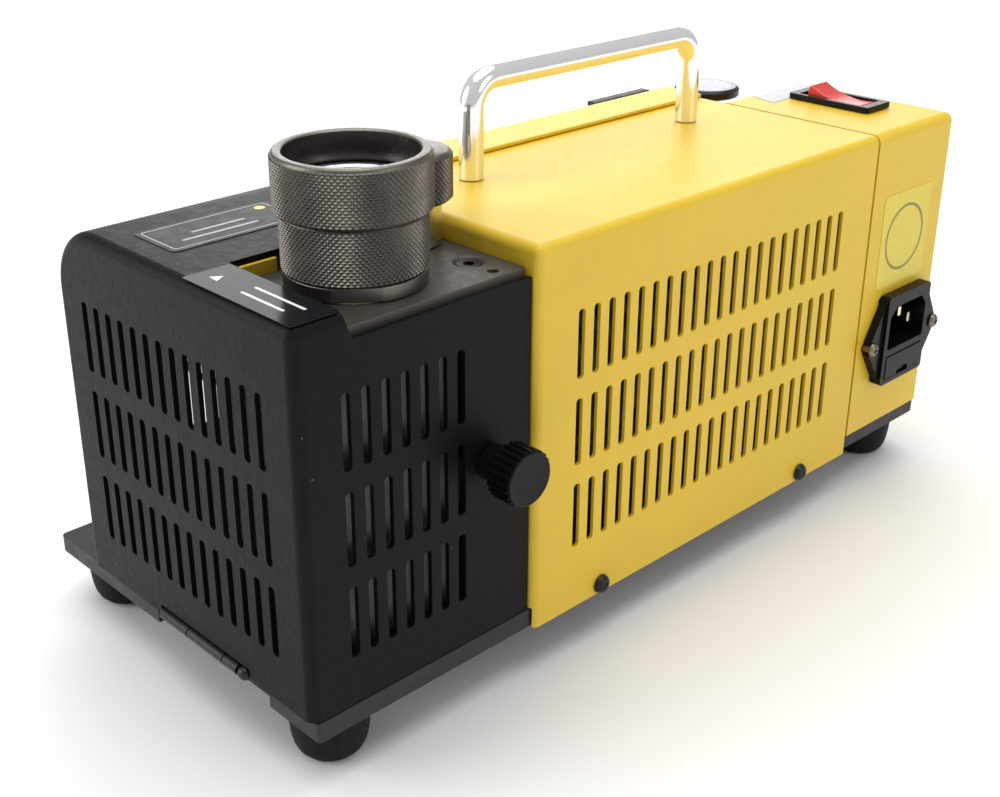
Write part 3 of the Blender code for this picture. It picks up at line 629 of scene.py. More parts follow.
def black_oxide():
    made = Finish("black_oxide", (0.022, 0.021, 0.021), 0.34, 0.6)
    return made.tint(3.0, 0.8, 1.2).gloss(1.0, 0.28, 0.42).grain(0.3, 0.006, 2.0)


def label_grey():
    made = Finish("label_grey", (0.022, 0.025, 0.025), 0.42, Specular_IOR_Level=0.15)
    return made.tint(18.0, 0.92, 1.08).gloss(3.0, 0.36, 0.46)


def label_gloss():
    made = Finish("label_gloss", (0.006, 0.006, 0.009), 0.16, Specular_IOR_Level=0.13)
    return made.tint(12.0, 0.9, 1.1).grain(5.0, 0.01, 1.0)


def label_lilac():
    made = Finish("label_lilac", (0.42, 0.41, 0.46), 0.35)
    return made.tint(9.0, 0.94, 1.05).gloss(3.0, 0.3, 0.42)


def label_lemon():
    made = Finish("label_lemon", (0.72, 0.58, 0.035), 0.30)
    return made.tint(9.0, 0.97, 1.03).gloss(3.0, 0.25, 0.36)


def print_white():
    return Finish("print_white", (0.78, 0.79, 0.80), 0.35).tint(2.0, 0.94, 1.05)


def print_grey():
    return Finish("print_grey", (0.34, 0.36, 0.36), 0.35).tint(2.0, 0.94, 1.05)


def print_olive():
    return Finish("print_olive", (0.22, 0.19, 0.03), 0.35).tint(2.0, 0.94, 1.05)


def print_yellow():
    return Finish("print_yellow", (0.75, 0.55, 0.05), 0.35).tint(2.0, 0.95, 1.04)


FINISHES = (yellow_coat, black_coat, grey_coat, deck_coat, knurled_steel, turned_steel, bright_rim, polished_chrome,
            foot_rubber, moulded_black, moulded_red, cast_alloy, motor_enamel, grit, wheel_body, pin_brass, zinc,
            zinc_painted_shade, bronze, black_oxide, label_grey, label_gloss, label_lilac, label_lemon, print_white,
            print_grey, print_olive, print_yellow)


def look(name):
    """The material of that name, made on first use."""
    found = bpy.data.materials.get(name)
    if found:
        return found
    return next(recipe for recipe in FINISHES if recipe.__name__ == name)().material


# ---------------------------------------------------------------- folded sheet
def bent_section(near, far, top, foot, near_bend, far_bend, steps=8):
    """Outline across the machine: up the near side, over the top and down the far side."""
    points = [(near, foot)]
    points += arc((near + near_bend, top - near_bend), near_bend, 180, 90, steps)
    points += arc((far - far_bend, top - far_bend), far_bend, 90, 0, 2 * steps)
    return points + [(far, foot)]


def round_ended(name, section, start, end, bend, steps=8):
    """A solid that runs from start to end along the machine, with the edges of its start face bent round.

    section(inset) gives the outline, drawn in by the inset.
    """
    ahead = 1 if end > start else -1
    stations = [(start + ahead * bend * (1 - math.cos(turn)), bend * (1 - math.sin(turn)))
                for turn in (math.pi / 2 * step / steps for step in range(steps + 1))] + [(end, 0.0)]
    bm = bmesh.new()
    rings = [[bm.verts.new((along, across, up)) for across, up in section(inset)] for along, inset in stations]
    for ring, after in zip(rings, rings[1:]):
        for i in range(len(ring)):
            j = (i + 1) % len(ring)
            bm.faces.new((ring[i], ring[j], after[j], after[i]))
    bm.faces.new(rings[0])
    bm.faces.new(rings[-1])
    bmesh.ops.remove_doubles(bm, verts=bm.verts[:], dist=1e-5)
    return mesh_object(name, bm)


def vent_outline(steps=6):
    sizes = bpy.context.scene.sharpener_sheet
    return rounded_outline(sizes.vent_width / MM, sizes.vent_length / MM, sizes.vent_width / MM * 0.42, steps)


def vents(first, count, rows, wall, through):
    """Cutters for a block of slots in a wall. through is the axis that they pierce."""
    pitch = bpy.context.scene.sharpener_sheet.vent_pitch / MM
    outline = vent_outline()
    bm = bmesh.new()
    for up in rows:
        for column in range(count):
            where = first + pitch * column
            if through is ALONG:
                low, high = ([bm.verts.new((wall + side, where + x, up + y)) for x, y in outline]
                             for side in (-3.0, 3.0))
            else:
                low, high = ([bm.verts.new((where + x, wall + side, up + y)) for x, y in outline]
                             for side in (-3.0, 3.0))
            bm.faces.new(low)
            bm.faces.new(high)
            for i in range(len(outline)):
                j = (i + 1) % len(outline)
                bm.faces.new((low[i], low[j], high[j], high[i]))
    return mesh_object("vents", bm)


def make_grinding_cover():
    sizes = bpy.context.scene.sharpener_sheet
    sheet = sizes.thickness / MM
    low, high = span("grinding_cover")
    tight, wide = sizes.near_bend / MM, sizes.far_bend / MM

    def section(base, foot):
        def drawn_in(inset):
            off = base + inset
            return bent_section(low.y + off, high.y - off, high.z - off, foot,
                                max(tight - off, SMALLEST_BEND), max(wide - off, SMALLEST_BEND))
        return drawn_in

    cover = round_ended("slotted_grinding_cover", section(0.0, low.z), low.x, high.x, tight)
    hollow = round_ended("hollow", section(sheet, low.z - 20), low.x + sheet, high.x + 20, tight - sheet)
    cut(cover, hollow)
    slant = [(OPENING_START, high.z + 5), (OPENING_START, high.z - 2.2), (OPENING_START + 1.2, WALL_TOP + 0.8),
             (OPENING_START + 2.0, WALL_TOP), (high.x + 10, WALL_TOP), (high.x + 10, high.z + 5)]
    near_way = slab("near_way", slant, on_wall(0, 5, 0), 12.0)
    opening = block("opening", (OPENING_START, 4.0, WALL_TOP), (high.x + 10, OPENING_FAR, high.z + 5))
    post_way = block("post_way", (55.0, 30.0, WALL_TOP), (high.x + 10, 49.4, high.z + 5))
    cut(cover, near_way, opening, post_way)
    barrel_start, barrel_end = span("hinge_pin")[0].y - 0.7, span("hinge_leaf_cover")[1].y + 0.7
    cut(cover, block("barrel_notch", (-5, barrel_start, -5), (5, barrel_end, 3.5)))
    cut(cover, block("drill_window", (36, 100, 33), (74, 120, 71)))
    lock = middle("lock_knob")
    cut(cover, rod("lock_hole", (lock.x, -5, lock.z), ACROSS, 12, 3.0, 32))
    cut(cover, vents(14.35, 14, VENT_ROWS, sheet / 2, ALONG))
    cut(cover, vents(14.8, 7, VENT_ROWS, sheet / 2, ACROSS))
    fit(cover, "grinding_cover", "black_coat", 0.22)


def make_cover_labels():
    """Plain label plates on top of the grinding cover, with a frame line and an arrow but no words."""
    top = span("grinding_cover")[1].z
    print_up = top + PRINT_START
    along, across = 31.0, 72.4
    plate = slab("cover_label", rounded_outline(42.6, 20.4, 2.0), at(along, across, top - LABEL_SINK), LABEL_THICK)
    hang(plate, "grinding_cover", "label_grey")
    ease(plate, 0.08)
    line = slab("cover_label_frame", rounded_outline(39.8, 17.6, 1.4), at(along, across, print_up), PRINT_THICK)
    cut(line, slab("inside", rounded_outline(39.0, 16.8, 1.1), at(along, across, top - 1), 3))
    hang(line, "grinding_cover", "print_grey")
    bars = [slab("bar", rounded_outline(24.0 - 7 * row, 1.0, 0.4),
                 at(28.5 + 2.0 * row, 68.6 + 4.2 * row, print_up), PRINT_THICK) for row in range(2)]
    hang(merged("cover_label_bars", bars), "grinding_cover", "print_grey")
    mark = slab("cover_label_mark", rounded_outline(3.2, 3.2, 1.5), at(47.6, 78.0, print_up), PRINT_THICK)
    hang(mark, "grinding_cover", "print_yellow")

    strip = slab("station_label", rounded_outline(14.2, 44.2, 0.8), at(8.2, 23.3, top - LABEL_SINK), LABEL_THICK)
    hang(strip, "grinding_cover", "label_gloss")
    ease(strip, 0.08)
    arrow = slab("station_label_arrow", [(6.2, 40.9), (9.2, 39.0), (5.9, 37.1)], at(0, 0, print_up), PRINT_THICK)
    hang(arrow, "grinding_cover", "print_white")
    bars = [slab("bar", rounded_outline(0.9, length, 0.4), at(along, across, print_up), PRINT_THICK)
            for along, across, length in ((6.0, 18.6, 17.0), (10.2, 17.4, 20.0))]
    hang(merged("station_label_bars", bars), "grinding_cover", "print_white")


def make_lock_knob():
    low, high = span("lock_knob")
    centre = (low + high) / 2
    face, back, foot = low.y, -0.5, high.y
    ribs = bpy.context.scene.sharpener_grip.knob_ribs
    skirt = slab("ribbed_lock_knob", ribbed_outline(8.1, 0.7, ribs), on_wall(centre.x, face + 8.1, centre.z), 7.4)
    rows = [(0.0, face + 0.12), (6.9, face + 0.12), (7.15, face), (7.4, face + 0.05), (7.6, face + 0.3),
            (7.62, face + 1.0), (7.3, face + 1.3), (7.3, face + 4.0), (0.0, face + 4.0)]
    join(skirt, revolve("cap", rows, Vector((centre.x, 0, centre.z)), ACROSS, 96))
    rows = [(0.0, face + 6.0), (5.2, face + 6.0), (5.2, back - 0.6), (4.7, back), (0.0, back)]
    join(skirt, revolve("neck", rows, Vector((centre.x, 0, centre.z)), ACROSS, 64))
    join(skirt, rod("screw", (centre.x, back - 2, centre.z), ACROSS, foot - back + 2, 2.4, 32))
    fit(skirt, "lock_knob", "moulded_black", 0.15)


def make_hinge():
    for node in ("hinge_leaf_cover", "hinge_leaf_base"):
        refined(node, "black_oxide", 0.12)
    low, high = span("hinge_pin")
    centre = (low + high) / 2
    ball = (high.x - low.x) / 2
    rows = [(0.0, 0.0)] + [(ball * math.sin(t), 1.08 * ball * (1 - math.cos(t)))
                           for t in (math.pi * step / 20 for step in range(1, 18))]
    rows += [(1.0, 4.3), (1.0, high.y - low.y), (0.0, high.y - low.y)]
    pin = revolve("ball_headed_hinge_pin", rows, Vector((centre.x, low.y, centre.z)), ACROSS, 32)
    fit(pin, "hinge_pin", "black_oxide")


# ---------------------------------------------------------------- base
def make_base():
    low, high = span("base_plate")
    outline = rounded_outline(high.x - low.x, high.y - low.y, 1.2, 4)
    centre = (low + high) / 2
    plate = slab("ground_base_plate", outline, at(centre.x, centre.y, low.z), high.z - low.z)
    cut(plate, block("notch", (-1, 21.3, -10), (4.0, 75.5, 5)))
    for name in FEET:
        foot = middle("foot_" + name)
        cut(plate, rod("hole", (foot.x, foot.y, -10), UP, 20, 2.5, 24))
    for number in PAIR:
        screw = middle("cover_screw_%d" % number)
        cut(plate, rod("edge_hole", (screw.x, -2, screw.z), ACROSS, 12, 1.8, 24))
    fit(plate, "base_plate", "grey_coat", 0.35)
    for name in FEET:
        low, high = span("foot_" + name)
        centre = (low + high) / 2
        tall = high.z - low.z
        bowl = [(4.6, 0.5), (5.0, 0.0), (6.6, 0.0), (8.0, 0.6), (9.2, 1.9), (10.1, 3.8), (10.7, 6.4), (11.05, 9.4),
                (11.2, 12.4), (11.3, tall - 0.8), (11.0, tall - 0.1), (10.6, tall), (2.6, tall), (2.6, 8.0),
                (4.6, 8.0)]
        foot = revolve("bowl_foot_" + name, bowl, Vector((centre.x, centre.y, low.z)), UP, 64)
        fit(foot, "foot_" + name, "foot_rubber")
        refined("foot_screw_" + name, "zinc", 0.2)


# ---------------------------------------------------------------- yellow covers
def make_main_cover():
    sheet, bend, lap = 1.1, 2.6, 73.0
    low, high = span("main_cover")

    def section(inset):
        return bent_section(low.y + inset, high.y - inset * FAR_SIDE_SHARE, high.z - inset, low.z,
                            max(bend - inset, SMALLEST_BEND), 0.2, 8)

    cover = round_ended("slotted_main_cover", section, low.x, high.x, bend)
    inner_top = high.z - sheet
    hollow = [(low.y + sheet, -30.0), (low.y + sheet, inner_top - 1.1)]
    hollow += arc((low.y + sheet + 1.1, inner_top - 1.1), 1.1, 180, 90, 5)
    hollow += [(120.0, inner_top), (120.0, -30.0)]
    cut(cover, slab("hollow", hollow, on_end(low.x + sheet), high.x - low.x - 2 * sheet))
    cut(cover, block("top_far", (low.x + sheet, lap, 90), (high.x - sheet, 120, 130)))
    cut(cover, rod("wire_hole", (high.x - 4, 30, 60), ALONG, 8, 7, 32))
    cut(cover, block("over_plate", (70, low.y + sheet, -20), (300, 120, 0.4)))
    axis = middle("motor_shaft")
    arch = [(axis.y - 18, -20), (axis.y + 18, -20)] + arc((axis.y, axis.z), 18, 0, 180, 24)
    cut(cover, slab("spindle_gap", arch, on_end(70), 15.0))
    cut(cover, vents(94.8, 21, VENT_ROWS, low.y + sheet / 2, ACROSS))
    for number in PAIR:
        screw = middle("cover_screw_%d" % number)
        cut(cover, rod("screw_hole", (screw.x, -6, screw.z), ACROSS, 8, 2.0, 24))
        hole = middle("handle_screw_%d" % number)
        cut(cover, rod("handle_hole", (hole.x, hole.y, 100), UP, 20, 2.6, 24))
    fit(cover, "main_cover", "yellow_coat", 0.25)
    for number in PAIR:
        centre, front = middle("cover_screw_%d" % number), span("cover_screw_%d" % number)[0].y
        rows = [(0.0, 0.55), (0.9, 0.5), (1.1, 0.15), (1.7, 0.2), (2.4, 0.65), (2.85, 1.4), (3.0, 2.1), (1.5, 2.1),
                (1.5, 9.0), (0.0, 9.0)]
        head = revolve("domed_cover_screw_%d" % number, rows, Vector((centre.x, front, centre.z)), ACROSS, 40)
        fit(head, "cover_screw_%d" % number, "black_oxide")


def make_front_panel():
    low, high = span("front_panel")
    sheet, bend = 1.2, 2.4
    outer = [(low.y, low.z), (low.y, high.z)] + arc((high.y - bend, high.z - bend), bend, 90, 0, 8)
    outer += [(high.y, low.z)]
    panel = slab("folded_front_panel", outer, on_end(low.x), high.x - low.x)
    inner = [(low.y - 5, low.z - 5), (low.y - 5, high.z - sheet)]
    inner += arc((high.y - bend, high.z - bend), bend - sheet, 90, 0, 8) + [(high.y - sheet, low.z - 5)]
    cut(panel, slab("hollow", inner, on_end(low.x - 5), high.x - low.x + 10))
    fit(panel, "front_panel", "yellow_coat", 0.2)


def make_rear_box():
    low, high = span("rear_box")
    sheet, bend = bpy.context.scene.sharpener_sheet.thickness / MM, 3.2

    def section(inset):
        return bent_section(low.y + inset, high.y - inset, high.z - inset, low.z,
                            max(bend - inset, SMALLEST_BEND), max(bend - inset, SMALLEST_BEND), 8)

    case = round_ended("rear_electrical_box", section, high.x, low.x, bend)
    cut(case, block("hollow", (low.x + sheet, low.y + sheet, -30),
                    (high.x - sheet, high.y - sheet, high.z - sheet)))
    switch, inlet = middle("switch_case"), middle("mains_inlet")
    cut(case, block("switch_hole", (switch.x - 6.3, switch.y - 14, 90), (switch.x + 6.3, switch.y + 14, 130)))
    cut(case, block("inlet_hole", (inlet.x - 14, -10, inlet.z - 15.6), (inlet.x + 14, 5, inlet.z + 15.6)))
    for number in PAIR:
        screw = middle("inlet_screw_%d" % number)
        cut(case, rod("ear_hole", (screw.x, -8, screw.z), ACROSS, 12, 1.9, 24))
    cut(case, rod("wire_hole", (low.x - 3, 30, 60), ALONG, 8, 7, 32))
    fit(case, "rear_box", "yellow_coat", 0.25)

    outline = [(-16.0, -6.2), (13.0, -4.6), (17.6, 4.6), (-13.2, 4.8)]
    plate = slab("box_top_label", filleted(outline, 0.8, 3), at(266.2, 55.8, high.z - LABEL_SINK), BOX_LABEL_THICK)
    hang(plate, "rear_box", "label_lilac")
    ease(plate, 0.06)
    side = on_wall(260.8, low.y + LABEL_SINK, 71.0)
    plate = slab("box_side_label", rounded_outline(30.0, 34.0, 2.0), side, BOX_LABEL_THICK)
    hang(plate, "rear_box", "label_lemon")
    ease(plate, 0.06)
    ring = slab("box_side_label_ring", rounded_outline(24.0, 24.0, 11.9, 16), side @ at(0, 0, 0.18), PRINT_THICK)
    cut(ring, slab("inside", rounded_outline(22.0, 22.0, 10.9, 16), side @ at(0, 0, -1), 4))
    hang(ring, "rear_box", "print_olive")


def make_wheel_guard():
    # The guard's walls take dark dull zinc as painted shade for the inside of the grinding cover; faces above 100.8
    # mm up take the yellow coat.
    guard = refined("wheel_guard", "zinc_painted_shade", 0.2)
    guard.data.materials.append(look("yellow_coat"))
    for face in guard.data.polygons:
        if (TO_BENCH @ face.center).z > 100.8:
            face.material_index = 1
    refined("lock_bracket", "grey_coat", 0.15)


# ---------------------------------------------------------------- deck and upright station
def make_deck():
    low, high = span("deck_plate")
    chuck, screw = middle("chuck_sleeve"), middle("deck_screw")
    outline = rounded_outline(high.x - low.x, high.y - low.y, 1.2, 4)
    centre = (low + high) / 2
    deck = slab("station_deck", outline, at(centre.x, centre.y, low.z), high.z - low.z)
    cut(deck, rod("chuck_hole", (chuck.x, chuck.y, 90), UP, 30, CHUCK_BORE, 96))
    sink = [(0.0, -6.0), (2.3, -6.0), (2.3, -2.4), (4.4, 0.0), (4.4, 1.0), (0.0, 1.0)]
    cut(deck, revolve("countersink", sink, Vector((screw.x, screw.y, high.z)), UP, 48))
    cut(deck, rod("pin_hole", (69.4, 6.6, 90), UP, 20, 1.5, 32))
    fit(deck, "deck_plate", "deck_coat", 0.3)
    rows = [(0.0, -9.0), (1.9, -9.0), (1.9, -2.7), (3.3, -1.0), (3.4, -0.9), (3.4, -0.6), (3.3, -0.5), (1.75, -0.5),
            (0.0, -0.5)]
    head = revolve("countersunk_deck_screw", rows, Vector((screw.x, screw.y, high.z)), UP, 48)
    cut(head, rod("socket", (screw.x, screw.y, high.z - 2.2), UP, 4, 1.7, 6))
    fit(head, "deck_screw", "black_oxide", 0.08)


def make_station():
    chuck = middle("chuck_sleeve")
    centre = Vector((chuck.x, chuck.y, 0))
    low, high = span("station_flange")
    profile = [(CHUCK_BORE, low.z), (18.5, low.z), (18.5, high.z), (CHUCK_BORE, high.z)]
    flange = revolve("station_flange_turned", profile, centre, UP, 128)
    turn = at(*centre) @ Matrix.Rotation(math.radians(51.8), 4, "Z")
    for side in (-1, 1):
        flat = block("flat", (min(side * 17.4, side * 25), -20, 100), (max(side * 17.4, side * 25), 20, 112))
        flat.data.transform(turn)
        cut(flange, flat)
    fit(flange, "station_flange", "knurled_steel", 0.2)

    low, high = span("lower_ring")
    radius = (high.x - low.x) / 2
    rows = [(17.4, low.z), (radius - 0.6, low.z), (radius - 0.45, low.z + 0.25)]
    rows += knurl_rows(radius, low.z + 0.5, high.z - 0.6)
    rows += [(radius - 0.45, high.z - 0.25), (radius - 0.7, high.z), (17.4, high.z)]
    ring = revolve("knurled_lower_ring", rows, centre, UP, knurl_segments(radius))
    fit(ring, "lower_ring", "knurled_steel")

    low, high = span("upper_ring")
    radius = (high.x - low.x) / 2
    rows = [(17.4, low.z), (radius - 0.9, low.z), (radius - 0.45, low.z + 0.35)]
    rows += knurl_rows(radius, low.z + 0.7, high.z - 1.2)
    rows += [(radius - 0.4, high.z - 1.0), (radius - 0.45, high.z - 0.7), (radius - 0.75, high.z - 0.2),
             (radius - 1.0, high.z - 0.05), (radius - 1.2, high.z), (17.7, high.z), (17.4, high.z - 0.15),
             (17.2, high.z - 0.4), (17.2, high.z - 7.7), (17.4, high.z - 8.1)]
    ring = revolve("knurled_upper_ring", rows, centre, UP, knurl_segments(radius))
    fit(ring, "upper_ring", "knurled_steel")

    low, high = span("chuck_sleeve")
    rows = [(14.2, low.z), (16.6, low.z), (16.6, high.z - 0.2), (16.4, high.z), (15.0, high.z), (14.6, high.z - 0.2),
            (14.2, high.z - 0.7)]
    fit(revolve("bright_chuck_sleeve", rows, centre, UP, 128), "chuck_sleeve", "bright_rim")


def make_stop_post():
    low, high = span("stop_post")
    post = (low + high) / 2
    centre = Vector((post.x, post.y, 0))
    rows = [(0.0, low.z), (7.6, low.z), (7.8, low.z + 0.2), (7.8, high.z - 12.2), (7.6, high.z - 12.0),
            (4.0, high.z - 12.0), (4.0, high.z), (0.0, high.z)]
    fit(revolve("turned_stop_post", rows, centre, UP, 96), "stop_post", "turned_steel")
    low, high = span("stop_knob")
    radius = (high.x - low.x) / 2
    rows = [(4.4, low.z), (radius - 1.0, low.z), (radius - 0.45, low.z + 0.6)]
    rows += knurl_rows(radius, low.z + 0.9, high.z - 1.3)
    rows += [(radius - 0.45, high.z - 1.0), (radius - 0.8, high.z - 0.4), (radius - 1.5, high.z), (3.0, high.z),
             (2.6, high.z - 0.3), (0.0, high.z - 0.5), (0.0, high.z - 1.4), (4.4, high.z - 1.4)]
    fit(revolve("knurled_stop_knob", rows, centre, UP, knurl_segments(radius)), "stop_knob", "knurled_steel")


# ---------------------------------------------------------------- handle
def make_handle():
    low, high = span("carry_handle")
    radius = (high.y - low.y) / 2
    across = (low.y + high.y) / 2
    start, end, top = low.x + radius, high.x - radius, high.z - radius
    bend = 8.5
    points = [Vector((start, across, low.z)), Vector((start, across, low.z + 1.0))]
    sweep = [math.radians(90 * step / 16) for step in range(17)]
    points += [Vector((start + bend * (1 - math.cos(t)), across, top - bend * (1 - math.sin(t)))) for t in sweep]
    points += [Vector((end - bend * (1 - math.cos(t)), across, top - bend * (1 - math.sin(t))))
               for t in reversed(sweep)]
    points += [Vector((end, across, low.z + 1.0)), Vector((end, across, low.z))]
    handle = bent_bar("bent_carry_handle", points, radius, 48)
    for number in PAIR:
        screw = middle("handle_screw_%d" % number)
        cut(handle, rod("thread", (screw.x, across, low.z - 2), UP, 12, 2.4, 24))
        refined("handle_screw_%d" % number, "zinc", 0.2)
    fit(handle, "carry_handle", "polished_chrome", 0.2)


# ---------------------------------------------------------------- switch and inlet
def make_switch():
    low, high = span("switch_case")
    centre = (low + high) / 2
    wide, long = high.x - low.x, high.y - low.y
    top = span("rear_box")[1].z + 0.3
    case = slab("switch_bezel", rounded_outline(wide, long, 1.2), at(centre.x, centre.y, top), 2.0)
    join(case, block("body", (centre.x - 6, centre.y - 13.6, low.z), (centre.x + 6, centre.y + 13.6, top + 1)))
    cut(case, block("well", (centre.x - 5.4, centre.y - 12.9, top - 12), (centre.x + 5.4, centre.y + 12.9, top + 5)))
    fit(case, "switch_case", "moulded_black", 0.45)

    tipped = math.radians(11)
    hollow = arc((0.0, 36.9), 32.5, 252.0, 288.0, 20)
    outline = [(-11.0, 3.6), (-10.6, 5.9)] + hollow + [(10.6, 5.9), (11.0, 3.6), (9.0, -2.0), (-9.0, -2.0)]
    place = at(centre.x, centre.y, top - 2.5) @ Matrix.Rotation(tipped, 4, "X")
    place = place @ Matrix.Rotation(math.pi / 2, 4, "Z") @ Matrix.Rotation(math.pi / 2, 4, "X")
    rocker = slab("curved_rocker", outline, place @ at(0, 0, -4.9), 9.8)
    fit(rocker, "switch_rocker", "moulded_red", 0.45, 3)


def make_inlet():
    low, high = span("mains_inlet")
    along, up = middle("mains_inlet").x, middle("inlet_screw_1").z
    face, thick = low.y + 2.9, 2.9
    wall = on_wall(along, face, up)
    ear, foot, head, shoulder = (high.x - low.x) / 2, low.z - up, high.z - up, 13.8
    hexagon = [(-shoulder, foot), (shoulder, foot), (ear, -3.0), (ear, 3.0), (shoulder, head), (-shoulder, head),
               (-ear, 3.0), (-ear, -3.0)]
    inlet = slab("mains_inlet_flange", filleted(hexagon, 2.6, 5), wall, thick)
    raised = slab("raised", rounded_outline(27.4, head - foot - 1.2, 1.6), wall @ at(0, (head + foot) / 2, 0),
                  thick + 1.1)
    join(inlet, raised)
    join(inlet, block("body", (along - 13.6, face - 1, up - 15.2), (along + 13.6, high.y, up + 15.2)))
    socket = [(-11.8, -8.2), (11.8, -8.2), (11.8, 4.4), (8.2, 8.2), (-8.2, 8.2), (-11.8, 4.4)]
    cut(inlet, slab("socket", filleted(socket, 1.2, 4), on_wall(along, 11, up + 5.4), 25))
    cut(inlet, block("drawer_way", (along - 11.6, -10, up - 14.2), (along + 11.6, 15, up - 5.0)))
    for number in PAIR:
        screw = middle("inlet_screw_%d" % number)
        cut(inlet, rod("ear_hole", (screw.x, -8, up), ACROSS, 10, 1.7, 24))
    for pin in PINS:
        low_p, high_p = span(pin)
        cut(inlet, block("pin_hole", (low_p.x - 0.3, 8, low_p.z - 0.3), (high_p.x + 0.3, 30, high_p.z + 0.3)))
        middle_p = (low_p + high_p) / 2
        blade = slab("blade_" + pin, rounded_outline(high_p.x - low_p.x, high_p.z - low_p.z, 0.7),
                     on_wall(middle_p.x, high_p.y, middle_p.z), high_p.y - low_p.y)
        fit(blade, pin, "pin_brass", 0.35)
    fit(inlet, "mains_inlet", "moulded_black", 0.5, 3)

    low, high = span("fuse_drawer")
    drawer = block("fuse_drawer_front", (low.x - 0.2, low.y, low.z), (high.x + 0.2, high.y, high.z + 0.1))
    notch = slab("finger_notch", rounded_outline(7.0, 3.0, 1.2, 4), on_wall(along, low.y + 1.2, low.z + 0.6), 4)
    cut(drawer, notch)
    fit(drawer, "fuse_drawer", "moulded_black", 0.4)
    for number in PAIR:
        low, high = span("inlet_screw_%d" % number)
        centre = (low + high) / 2
        rows = [(0.0, 0.0), (1.2, 0.05), (2.0, 0.4), (2.45, 0.9), (2.6, 1.4), (1.4, 1.4), (1.4, 9.0), (0.0, 9.0)]
        head = revolve("cross_head_inlet_screw_%d" % number, rows, Vector((centre.x, low.y, centre.z)), ACROSS, 40)
        for wide, high_cut in ((2.6, 0.6), (0.6, 2.6)):
            cut(head, block("cross", (centre.x - wide / 2, low.y - 1, centre.z - high_cut / 2),
                            (centre.x + wide / 2, low.y + 0.8, centre.z + high_cut / 2)))
        fit(head, "inlet_screw_%d" % number, "bronze", 0.06)


# ---------------------------------------------------------------- motor and wheel
def make_motor():
    axis = middle("motor_shaft")
    centre = Vector((0, axis.y, axis.z))
    low, high = span("motor_body")
    radius = (high.z - low.z) / 2
    rows = [(22.0, low.x), (radius - 1.0, low.x), (radius, low.x + 1.0)]
    fins = 18
    pitch = (high.x - low.x - 12) / fins
    for fin in range(fins):
        start = low.x + 6 + fin * pitch
        rows += [(radius, start), (radius - 2.2, start + 0.5), (radius - 2.2, start + pitch * 0.55),
                 (radius, start + pitch * 0.55 + 0.5)]
    rows += [(radius, high.x - 1.0), (radius - 1.0, high.x), (22.0, high.x)]
    fit(revolve("finned_motor_body", rows, centre, ALONG, 96), "motor_body", "motor_enamel")
    for node in ("motor_front_bell", "motor_rear_bell", "motor_bracket"):
        refined(node, "motor_enamel", 0.5)
    for node in ("shaft_front_bearing", "shaft_rear_bearing", "motor_shaft"):
        refined(node, "turned_steel", 0.15)
    refined("rotor", "knurled_steel", 0.3)


def make_wheel():
    axis = middle("grinding_wheel")
    centre = Vector((0, axis.y, axis.z))
    low, high = span("grinding_wheel")
    radius = (high.z - low.z) / 2
    rows = [(5.1, high.x - 9.0), (15.0, high.x - 9.0), (18.0, low.x), (radius - 0.6, low.x), (radius, low.x + 0.6),
            (radius, high.x - 0.6), (radius - 0.6, high.x), (5.1, high.x)]
    fit(revolve("dressed_grinding_wheel", rows, centre, ALONG, 128), "grinding_wheel", "grit")
    refined("wheel_flange", "wheel_body", 0.3)
    refined("wheel_nut", "wheel_body", 0.3)


# ---------------------------------------------------------------- operator's side
def joint_place(name):
    joint = next(row for row in RECORD["behaviour"]["joints"] if row["name"] == name)
    return TO_BENCH @ Vector(joint["pos_m"])


def ribbed_outline(radius, depth, ribs):
    """A circle with square-edged ribs, for a grip."""
    outline = []
    for rib in range(ribs):
        for share, sink in ((0.0, depth), (0.22, depth * 0.9), (0.36, 0.1), (0.50, 0.0), (0.72, 0.0), (0.86, 0.2)):
            turn = 2 * math.pi * (rib + share) / ribs
            outline.append(((radius - sink) * math.cos(turn), (radius - sink) * math.sin(turn)))
    return outline


